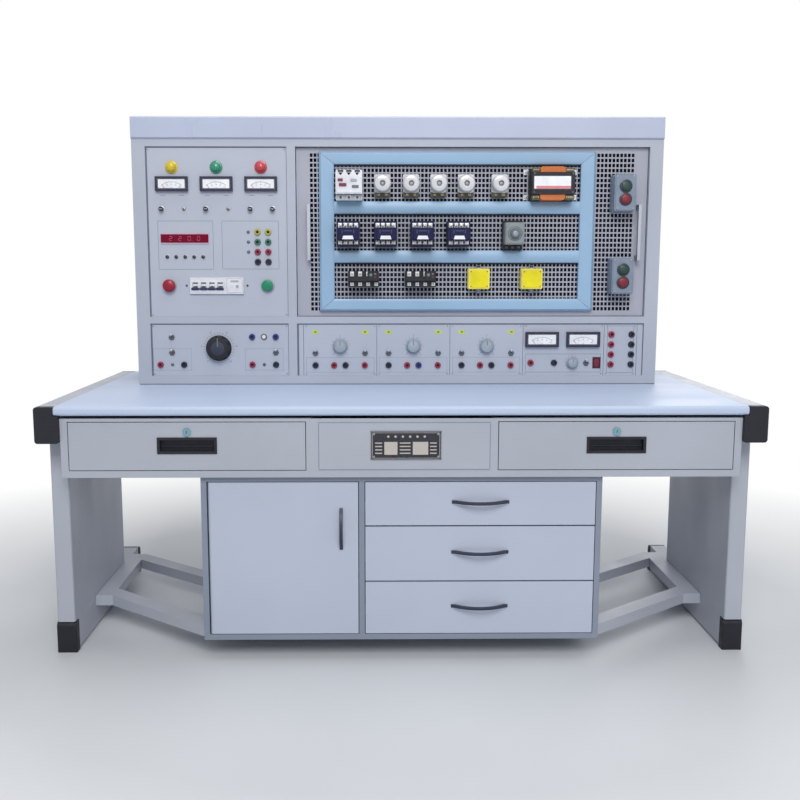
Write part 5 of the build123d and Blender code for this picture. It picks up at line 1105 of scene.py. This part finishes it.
def motor_breaker(shape, block):
    """Motor protection breaker: white stepped body, three wire funnels and openings painted dark as shade,
    keys and a terminal strip.
    """
    face = block.front + 4
    step = face + 16
    low, high = block.levels
    shape.slab(block.across, block.levels, 3, (step, block.back), "white_plastic")
    shape.slab(block.across, (low + 17, high - 8), 2, (face + 3, step), "white_plastic")
    shape.slab(inside(block.across, 3), (low + 20, high - 19), 3, (face, face + 3), "white_plastic")
    for pole in (-1, 0, 1):
        x = block.x + pole * 24.5
        # Dark boxes and funnels painted as the shade inside the wire openings.
        shape.box(around(x, 16), (face + 14.4, step), (high - 7, high - 1.5), "dark_behind")
        funnel = [(x - 6.5, high - 9.5), (x, high - 17.5), (x + 6.5, high - 9.5)]
        shape.prism(funnel, (face + 2.4, face + 3), "dark_behind")
        shape.turned(x, low + 8.5, face, ((16, 6.2), (14.6, 6.2), (14.6, 5)), "zinc_steel", 24)
        shape.screw(x, low + 8.5, face + 15, 4.4, "dark_metal", pole)
    # Dark line painted as the shade in the groove above the terminal strip.
    shape.box(inside(block.across, 1), (face + 15.2, step), (low + 15.2, low + 16.2), "dark_behind")
    shape.box(inside(block.across, 1.5), (face + 15.5, step), (low + 1.5, low + 15), "grey_plastic")
    for side, lift, wide, tall, finish in ((-25, 13, 15, 8, "mark_red"), (-18, -1, 22, 9, "mark_red"),
                                           (19, -6, 20, 8, "dial_grey"), (14, 12, 18, 8, "grey_plastic")):
        key = (around(block.x + side, wide), around(block.z + lift, tall))
        shape.slab(*key, 2, (block.front + 1.6, face), finish)


def screw_fuse(shape, block):
    """Screw fuse: a base whose lower part, round its brass terminals, is painted dark olive as the shade
    below the cap, and a turned porcelain cap with a sight glass.
    """
    x, front = block.x, block.front
    cap = block.z + FUSE_CAP_LIFT
    split = block.z - 19
    neck = block.back - 28
    across = inside(block.across, 2)
    top, bottom = block.top - 5, block.bottom + 7
    shape.slab(across, (split, top), 4, (neck + 4, block.back), "porcelain")
    # The lower part of the base is coloured dark olive: painted shade below the cap.
    shape.slab(across, (bottom, split - 0.4), 4, (neck + 2, block.back), "olive_base")
    shape.slab(around(x, 40), around(cap, 52), 6, (neck, neck + 4), "porcelain")
    terminals(shape, (x,), top - 5, neck + 4, 8, "clamp_metal")
    terminals(shape, (x - 11, x + 11), bottom + 6, neck + 2, 7, "brass")
    profile = ((neck, 21), (neck - 10, 21), (neck - 12, 23), (neck - 14, 26), (front + 12, 26),
               (front + 6, 25), (front + 2, 22), (front, 14), (front + 0.5, 8.5), (front + 5, 7.5))
    shape.turned(x, cap, 0, profile, "porcelain", 40)
    shape.turned(x, cap, front, ((5, 6.8), (1.5, 6.8), (1.5, 5.4), (4, 5)), "dark_metal", 28)
    shape.turned(x, cap, front, ((5, 5), (3.6, 4.8), (3, 3)), "grey_plastic", 24)


def transformer(shape, block):
    """Control transformer: laminated core, wound coil above and below it, blank label, terminal strips."""
    x, z, front, back = block.x, block.z, block.front, block.back
    face = front + 5
    shape.box(around(x, 126), (front + 6, back), around(z, 64), "core_steel")
    shape.slab(around(x - 2, 74), inside(block.levels, 0.5), 8, (front + 10, back - 10), "coil_winding")
    for end in (-1, 1):
        low, high = sorted((x - 2 + end * 38, x + end * 62))
        places = [low + 6, (low + high) / 2, high - 6]
        shape.slab((low, high), (z - 48, z - 33), 2, (front + 14, back - 6), "olive_base")
        terminals(shape, places, z - 40.5, front + 14, 7, "brass")
        shape.slab((low, high), (z + 33, z + 45), 2, (front + 16, back - 8), "olive_base")
        terminals(shape, places, z + 39, front + 16, 6, "brass")
        foot = x + end * 71
        for level in (-1, 1):
            shape.box(around(foot, 17), (back - 3, back), around(z + level * 37, 16), "zinc_steel")
            shape.screw(foot, z + level * 37, back - 3, 5, "clamp_metal", end)
            shape.screw(x + end * 57, z + level * 27, front + 6, 3.2, "dark_metal", end)
        shape.box(around(x + end * 64, 3), (back - 24, back), around(z, 90), "core_steel")
    shape.box(around(x - 4, 114), (face, front + 6), around(z + 1, 42), "black_gloss")
    shape.slab(around(x - 4, 108), (z - 16, z + 20), 1.5, (face - 0.8, face), "dial_white")
    shape.box(around(x - 1, 102), (face - 1.1, face - 0.8), (z - 15.5, z - 8), "rose_label")


def contactor(shape, block):
    """Contactor with a stepped nose, rows of bright clamps between barriers, and a blank label."""
    x, z, front, back = block.x, block.z, block.front, block.back
    step = front + 22
    shape.slab(block.across, block.levels, 2.5, (step + 4, back), "blue_plastic")
    shape.slab(inside(block.across, 1), (z - 20, z + 17), 2, (front + 6, step + 4), "blue_plastic")
    shape.slab(inside(block.across, 8), (z - 17, z + 14), 2, (front, front + 6), "blue_plastic")
    for level, tall in ((z + 24.5, 13), (z - 26, 11)):
        for pole in (-1.5, -0.5, 0.5, 1.5):
            post = x + pole * POLE_PITCH
            shape.box(around(post, 12.5), (step + 2.5, step + 4), around(level, tall), "clamp_metal")
            shape.turned(post, level, step, ((2.5, 5.6), (0, 5.6), (-1, 4.2), (-1, 2)), "clamp_metal", 18)
            # Dark tick painted as the shade in the clamp screw's slot.
            shape.tick(post, level, step - 1, 0.4 * pole, (-3.6, 3.6), 1.2, "dark_behind")
        for wall in (-1, 0, 1):
            depth = (step - 4, step + 4)
            shape.box(around(x + wall * POLE_PITCH, 1.8), depth, around(level, tall + 2), "blue_plastic")
    label = [(x - 17, z - 17.5), (x + 17, z - 17.5), (x + 13.5, z - 7), (x - 13.5, z - 7)]
    shape.prism(label, (front - 0.6, front + 0.4), "dial_white")
    for mark in (x - 17, x + 17):
        shape.box(around(mark, 3), (front - 0.5, front + 0.4), around(z + 5, 10), "handle_plastic")
    shape.box(around(x, 24), (front - 0.4, front + 0.4), around(z + 7, 3), "handle_plastic")


def timer(shape, block):
    """Timer relay on a dark socket, with a round grey scale plate."""
    z, front = block.z, block.front
    socket = block.back - 22
    shape.slab(inside(block.across, -2), (z - 46, z + 40), 3, (socket, block.back), "black_plastic")
    terminals(shape, (block.x - 18, block.x, block.x + 18), z - 39, socket, 8, "dark_metal")
    shape.slab(block.across, block.levels, 3, (front + 2, socket), "timer_plastic")
    shape.slab(inside(block.across, 3), inside(block.levels, 3), 3, (front, front + 2), "timer_plastic")
    dial = whole("timer_dial")
    x, z = dial.x, dial.z
    shape.turned(x, z, front, ((0.4, 22), (-0.3, 22), (-0.4, 21.6)), "dial_grey", 48)
    for mark in range(TIMER_MARKS):
        turn = TIMER_SWEEP * (2 * mark / (TIMER_MARKS - 1) - 1)
        shape.tick(x, z, front - 0.4, turn, (16.5, 19 if mark % 5 else 20), 0.6, "pale_ink")
    for side, lens in ((-23, "red_lens"), (23, "green_lens")):
        shape.peg(x + side, z - 27, (front - 0.3, front + 0.2), 2, lens, 16)


def timer_hub():
    """Pale hub with a pointer on the timer's dial."""
    dial = whole("timer_dial")
    x, z, front = dial.x, dial.z, dial.front
    shape = Shape()
    shape.turned(x, z, front, ((1, 7.5), (-0.4, 7), (-1, 5.5)), "knob_plastic", 32)
    shape.tick(x, z, front - 1, 0.5, (0, 5), 1, "ink")
    shape.build("timer_dial_hub", "timer_dial", 0.2)


def thermal_relay(shape, block):
    """Thermal overload relay: a dark block with bright clamps, a current dial and two small keys."""
    x, z, front = block.x, block.z, block.front
    step = front + 20
    right = block.right
    shape.slab(block.across, block.levels, 2, (step, block.back), "black_plastic")
    shape.slab(inside(block.across, 1), around(z, 13), 2, (front + 8, step), "black_plastic")
    shape.slab((right - 34, right - 2), (z - 5, block.top - 2), 2, (front, step), "black_plastic")
    upper = (15, 11, 14, 4.2)
    lower = (-15.5, 10, 10, 3.8)
    for (lift, wide, tall, head), places in ((upper, (-34, -10, 14)), (lower, (-34, -10, 14, 38))):
        for place in places:
            shape.box(around(x + place, wide), (step - 1.6, step), around(z + lift, tall), "clamp_metal")
            shape.screw(x + place, z + lift, step - 1.6, head, "clamp_metal", 0.1 * place)
    shape.turned(right - 24, z + 12, front, ((0.4, 5), (-0.3, 4.6)), "dial_grey", 28)
    shape.tick(right - 24, z + 12, front - 0.3, 0.8, (0, 4), 1.2, "pale_ink")
    for lift, finish in ((15, "dial_grey"), (6, "station_red")):
        shape.slab(around(right - 11, 6), around(z + lift, 5), 1, (front - 0.8, front + 1), finish)


def limit_switch(shape, block):
    """Limit switch: a housing with a screwed cover, a plunger with a steel tip, and a cable gland."""
    x, front, back, bottom = block.x, block.front, block.back, block.bottom
    top = block.top - 10
    z = (bottom + top) / 2
    levels = (bottom, top)
    shape.slab(block.across, levels, 4, (front + 9, back), "pale_yellow")
    shape.slab(inside(block.across, 1.5), inside(levels, 1.5), 4, (front + 2, front + 8.4), "pale_yellow")
    shape.slab(inside(block.across, 5), inside(levels, 5), 3, (front, front + 2), "yellow_plastic")
    for side in (-1, 1):
        for level in (-1, 1):
            shape.screw(x + side * 24, z + level * 22, front, 2, "brass", x + level)
    for radius, low, high, finish in (
        (9, top, top + 2.5, "zinc_steel"), (5, top + 2.5, top + 7, "black_plastic"),
        (4, top + 7, top + 9.8, "dark_metal"), (7, bottom - 5, bottom, "gland_grey"),
        (5.4, bottom - 12, bottom - 5, "gland_grey"),
    ):
        ring = circle(x, (front + back) / 2, radius, 24)
        shape.loft([[(px, py, level) for px, py in ring] for level in (low, high)], finish)


def push_station(shape, block):
    """Push-button station: a two-part housing with a light and a dark ring around each button."""
    front = block.front + 4
    across, levels = block.across, block.levels
    shape.slab(across, levels, 6, (front + 22, block.back), "station_plastic")
    shape.slab(inside(across, 0.8), inside(levels, 0.8), 7, (front + 3, front + 21.4), "station_plastic")
    shape.slab(inside(across, 4), inside(levels, 4), 8, (front, front + 3), "station_plastic")
    light = ((front + 1, 14.6), (front, 19.4), (front - 1.2, 19.4), (front - 1.6, 19), (front - 1.6, 14.6))
    dark = ((front - 1.2, 18.6), (block.front + 0.4, 18.6), (block.front, 18), (block.front, 14.6),
            (front - 1.2, 14.6))
    for node in STATION_BUTTONS:
        button = whole(node)
        if levels[0] < button.z < levels[1]:
            shape.turned(button.x, button.z, 0, light, "gland_grey", 40)
            shape.turned(button.x, button.z, 0, dark, "black_gloss", 40)
    for side in (-1, 1):
        for end in (-1, 1):
            shape.screw(block.x + side * 24, block.z + end * 47, front, 2.4, "zinc_steel", end)


# The table and cabinet

DOOR_BOW_INSET = 45
BOW_WIDTH = 8
BOW_BAR = 6
BOW_THIN = 2.8
BOW_STEPS = 24
PULL_WIDTH = 155
PULL_HEIGHT = 43
PULL_LIP = 6.8
PULL_DROP = 36
PULL_DEPTH = 12.6
PULL_WALL = 0.6
APRON_MIDDLE = (-218, 230)
# Plain blocks on the plate: two distances from its left edge, and filled or else four lines
PLATE_BLOCKS = ((12, 30, False), (36, 70, True), (76, 104, False), (110, 150, True), (155, 172, False))
VENT_ROWS = 2
VENT_COLUMNS = 14
VENT_PITCH = (100, 24)
VENT_HALF = 33
VENT_HOOD = 2.8
VENT_DROP = 110


def bow(node, upright_bow):
    """Rounded bow handle around the CAD handle of a drawer or door."""
    block = whole(node)
    face = whole("cabinet_carcass").front
    rise = face - 0.2 - block.front
    if upright_bow:
        length, x, z = 113, block.right - DOOR_BOW_INSET, block.z + 82
    else:
        length, x, z = 152, block.x, block.z + 5
    half = length / 2
    across = around(0, BOW_WIDTH + 0.8)

    def arc(reach, lift, along):
        """Depth of an arc through both ends of a chord and its crown."""
        radius = (reach * reach + lift * lift) / (2 * lift)
        return math.sqrt(max(radius * radius - along * along, 0)) - (radius - lift)

    rings = []
    for step in range(BOW_STEPS + 1):
        along = -half + length * step / BOW_STEPS
        outer = arc(half, rise, along)
        inner = 0
        if abs(along) < half - 2 * BOW_BAR:
            inner = max(arc(half - 2 * BOW_BAR, rise - BOW_BAR, along), 0)
        depths = (inner - 0.3, outer + 0.4) if outer - inner >= BOW_THIN else (-0.1, BOW_THIN)
        ring = []
        for side, depth in soft_rectangle(across, depths, 1.2, 3):
            y = face - 0.1 - max(depth, 0)
            ring.append((x + side, y, z + along) if upright_bow else (x + along, y, z + side))
        rings.append(ring)
    shape = Shape()
    shape.loft(rings, "bow_plastic")
    shape.build(f"{node}_bow", node, 0)


def apron_pull(side):
    """Black liner of a recessed pull, with a finger rib, around the CAD cup."""
    node = f"apron_drawer_{side}"
    lock = whole(f"drawer_lock_{side}")
    face = whole("apron_frame").front
    x, z = lock.x, lock.z - PULL_DROP
    lip = (whole(node).front - 0.4, face - 0.1)
    floor = face + PULL_DEPTH
    wall = (face - 0.1, floor)
    across, levels = around(x, PULL_WIDTH + 0.6), around(z, PULL_HEIGHT + 0.6)
    mouth = around(x, PULL_WIDTH - 2 * PULL_LIP)
    height = around(z, PULL_HEIGHT - 2 * PULL_LIP)
    shape = Shape()
    for ends in ((height[1], levels[1]), (levels[0], height[0])):
        shape.box(across, lip, ends, "black_plastic")
    for ends in ((across[0], mouth[0]), (mouth[1], across[1])):
        shape.box(ends, lip, height, "black_plastic")
    shape.box(mouth, (floor, floor + PULL_WALL), height, "black_plastic")
    for level in (height[0], height[1] - PULL_WALL):
        shape.box(mouth, wall, (level, level + PULL_WALL), "black_plastic")
    for low in (mouth[0], mouth[1] - PULL_WALL):
        shape.box((low, low + PULL_WALL), wall, height, "black_plastic")
    shape.box(inside(mouth, 3), (floor - 8, floor), around(z - 2, 3), "black_plastic")
    shape.build(f"apron_pull_{side}", node, 0.5)


def apron_dress():
    """Closed middle front of the apron with a groove line round it painted as shade, a grey strip under the
    tabletop painted as the shadow line there, and the plain face of its plate.
    """
    apron = whole("apron_frame")
    plate = whole("nameplate")
    levels = whole("apron_drawer_left").levels
    shape = Shape()
    shape.box(APRON_MIDDLE, (apron.front - 1.4, apron.front), levels, "body_paint")
    # Groove line round the middle front, printed in the darker carcass grey as painted shade.
    shape.outline(inside(APRON_MIDDLE, 1), inside(levels, 1), apron.front - 1.4, 2, "carcass_paint")
    # Grey strip filling the gap under the tabletop, painted as the shadow line there.
    shape.box(inside(apron.across, 2), (apron.front + 1, apron.front + 6),
              (apron.top - 0.2, whole("tabletop").bottom), "carcass_paint")
    shape.build("apron_middle_front", "bench", 0.8)
    face = plate.front
    ink = (face - 0.2, face)
    trim = Shape()
    trim.outline(inside(plate.across, 1), inside(plate.levels, 1), face, 2, "timer_plastic")
    trim.outline(inside(plate.across, 5), inside(plate.levels, 5), face, 1, "pale_ink")
    for step in range(6):
        trim.peg(plate.left + 46 + step * 19, plate.top - 15, ink, 3.4, "pale_ink", 6)
    for low, high, filled in PLATE_BLOCKS:
        across = (plate.left + low, plate.left + high)
        if filled:
            trim.box(across, ink, (plate.bottom + 14, plate.bottom + 48), "pale_ink")
        else:
            for row in range(4):
                trim.box(across, ink, around(plate.bottom + 18 + row * 9, 3), "pale_ink")
    for x in inside(plate.across, 9):
        for z in inside(plate.levels, 9):
            trim.screw(x, z, face, 2.4, "bright_metal", x)
    trim.build("nameplate_face", "bench", 0)


def rear_dress():
    """Hooded vents and screws of the rear cover."""
    shape = Shape()
    cover = whole("rear_cover")
    face = cover.back
    for row in range(VENT_ROWS):
        for column in range(VENT_COLUMNS):
            x = (column - (VENT_COLUMNS - 1) / 2) * VENT_PITCH[0]
            z = cover.top - VENT_DROP + ((VENT_ROWS - 1) / 2 - row) * VENT_PITCH[1]
            rings = []
            for share in (-1, -0.85, -0.4, 0.4, 0.85, 1):
                hood = VENT_HOOD * (1 - share * share) ** 0.5 if abs(share) < 1 else 0.02
                section = ((0, 4.5), (hood * 0.8, 3.8), (hood, -1.5), (hood, -2.4), (0, 3.2))
                rings.append([(x + share * VENT_HALF, face + out, z + lift) for out, lift in section])
            shape.loft(rings, "console_paint")
    for x in np.linspace(cover.left + 12, cover.right - 12, 9):
        for z in inside(cover.levels, 10):
            rear_screw(shape, x, z, face)
    for z in np.linspace(cover.bottom + 10, cover.top - 10, 5)[1:-1]:
        for x in inside(cover.across, 12):
            rear_screw(shape, x, z, face)
    shape.build("rear_details", "bench", 0.2)


def rear_screw(shape, x, z, face):
    """Screw head on the rear cover."""
    shape.turned(x, z, face, ((0, 4), (1.6, 4), (2.3, 2.8)), "zinc_steel", 16)
    # Dark bar painted as the shade in the screw's slot.
    shape.box(around(x, 4.4), (face + 2.2, face + 2.4), around(z, 0.9), "dark_behind")


# Stage, lights and camera

FLOOR_REACH = 12
FADE_START = 1.02
FADE_END = 2.1
AMBIENT_COLOUR = (0.95, 0.97, 1.0, 1.0)
AMBIENT_STRENGTH = 0.27


def stage():
    """Plain pale floor that fades to white away from the object, and a soft white surround."""
    mesh = bpy.data.meshes.new("floor")
    side = (-FLOOR_REACH, FLOOR_REACH)
    corners = [(x, y, 0) for x, y in rectangle(side, side)]
    mesh.from_pydata(corners, [], [(0, 1, 2, 3)])
    finish = Finish("floor_finish", (0.66, 0.68, 0.71, 1.0), 0.6)
    toned = finish.blend(finish.spread(finish.noise(1.5, 3.0), 0, 1), (0.64, 0.66, 0.69, 1),
                         (0.68, 0.70, 0.73, 1))
    mesh.materials.append(finish.wire(toned))
    flat = finish.add("ShaderNodeVectorMath", {0: finish.place, 1: (0.8, 1.0, 1.0)}, operation="MULTIPLY")
    away = finish.add("ShaderNodeVectorMath", {0: flat.outputs["Vector"]},
                      operation="LENGTH").outputs["Value"]
    fade = finish.spread(away, 0, 1, FADE_START, FADE_END)
    white = finish.add("ShaderNodeEmission", {"Color": (1, 1, 1, 1), "Strength": 1.0})
    seen = finish.product(fade, white_rays(finish.tree))
    blend = finish.add("ShaderNodeMixShader",
                       {0: seen, 1: finish.shader.outputs["BSDF"], 2: white.outputs["Emission"]})
    finish.tree.links.new(blend.outputs["Shader"], finish.tree.nodes["Material Output"].inputs["Surface"])
    piece = bpy.data.objects.new("floor", mesh)
    bpy.context.scene.collection.objects.link(piece)
    world = bpy.data.worlds.new("studio")
    bpy.context.scene.world = world
    world.use_nodes = True
    nodes, links = world.node_tree.nodes, world.node_tree.links
    ambient = nodes["Background"]
    ambient.inputs["Color"].default_value = AMBIENT_COLOUR
    ambient.inputs["Strength"].default_value = AMBIENT_STRENGTH
    bright = nodes.new("ShaderNodeBackground")
    bright.inputs["Color"].default_value = (1, 1, 1, 1)
    switch = nodes.new("ShaderNodeMixShader")
    links.new(white_rays(world.node_tree), switch.inputs["Fac"])
    links.new(ambient.outputs["Background"], switch.inputs[1])
    links.new(bright.outputs["Background"], switch.inputs[2])
    links.new(switch.outputs["Shader"], nodes["World Output"].inputs["Surface"])


def white_rays(tree):
    """Is 1 for the rays that show the background: from the camera, from gloss and through clear things."""
    path = tree.nodes.new("ShaderNodeLightPath")
    value = path.outputs["Is Camera Ray"]
    for name in ("Is Glossy Ray", "Is Transmission Ray"):
        either = tree.nodes.new("ShaderNodeMath")
        either.operation = "MAXIMUM"
        tree.links.new(value, either.inputs[0])
        tree.links.new(path.outputs[name], either.inputs[1])
        value = either.outputs["Value"]
    return value


def lamp(name, place, aim, size, power, colour=(1, 1, 1)):
    """Soft square lamp that faces a point, in metres and watts."""
    data = bpy.data.lights.new(name, "AREA")
    data.size = size
    data.energy = power
    data.color = colour
    light = bpy.data.objects.new(name, data)
    light.location = place
    light.rotation_euler = (Vector(aim) - Vector(place)).to_track_quat("-Z", "Y").to_euler()
    bpy.context.scene.collection.objects.link(light)


def camera():
    """Camera at the photograph's viewing angle."""
    data = bpy.data.cameras.new("camera")
    data.sensor_width = SENSOR
    data.sensor_fit = "HORIZONTAL"
    data.lens = FOCAL_PIXELS / FRAME_PIXELS * SENSOR
    data.shift_x = 0.5 - PRINCIPAL_PIXEL[0] / FRAME_PIXELS
    data.shift_y = PRINCIPAL_PIXEL[1] / FRAME_PIXELS - 0.5
    data.clip_end = 60
    viewer = bpy.data.objects.new("camera", data)
    viewer.location = CAMERA_PLACE_M
    viewer.rotation_euler = (math.pi / 2 - CAMERA_PITCH_DOWN, 0, -CAMERA_TURN_RIGHT)
    bpy.context.scene.collection.objects.link(viewer)
    bpy.context.scene.camera = viewer


finish_nodes()
pilot_lamps()
meter_dials()
panel_controls()
sockets()
display()
breaker_front()
breaker_handles()
panel_print()
panel_trim()
knob("regulator_knob", 9, 3.2, "black_plastic", "dial_grey", "bow_plastic")
for place in ("left", "middle", "right"):
    knob(f"module_knob_{place}", 18, 1.2, "knob_plastic", "ink", "grey_plastic")
knob("output_knob", 14, 0.9, "knob_plastic", "ink", "grey_plastic")
push_button("stop_button", "red_plastic", PANEL_Y - 8.6, 4)
push_button("start_button", "green_plastic", PANEL_Y - 8.6, 1.5)
stations = solids("button_stations")
for level in ("upper", "lower"):
    push_button(f"station_{level}_start", "station_green", stations[0].front, 1.2)
    push_button(f"station_{level}_stop", "station_red", stations[0].front, 1.2)
perforated_sheet()
console_backdrop()
blue_frame()
board_piece("motor_breaker_body", 0.4, "motor_breaker", motor_breaker,
            [whole("motor_breaker")])
board_piece("porcelain_fuses", 0.4, "screw_fuses", screw_fuse, solids("screw_fuses"))
board_piece("transformer_parts", 0.4, "board_transformer", transformer,
            [whole("board_transformer")])
board_piece("contactor_bodies", 0.4, "contactors", contactor, solids("contactors"))
board_piece("timer_body", 0.4, "timer_relay", timer, [whole("timer_relay")])
timer_hub()
board_piece("thermal_relay_bodies", 0.4, "thermal_relays", thermal_relay,
            solids("thermal_relays"))
board_piece("limit_switch_bodies", 0.6, "limit_switches", limit_switch,
            solids("limit_switches"))
board_piece("station_housings", 0.6, "button_stations", push_station, stations)
bow("cabinet_door", True)
for level in ("top", "middle", "bottom"):
    bow(f"cabinet_drawer_{level}", False)
for side in ("left", "right"):
    apron_pull(side)
apron_dress()
rear_dress()
stage()
lamp("key", (-0.1, -4.4, 4.0), (0, 0, 0.8), 2.4, 158, (1.0, 0.99, 0.97))
lamp("fill", (1.4, -4.6, 2.4), (0, 0, 0.9), 2.4, 26, (0.94, 0.97, 1.0))
lamp("top", (0, 0.0, 4.2), (0, 0, 0.7), 3.0, 56)
lamp("rear", (1.5, 4.0, 2.6), (0, 0.3, 0.9), 2.5, 40)
camera()
bpy.context.scene.view_settings.view_transform = "Standard"
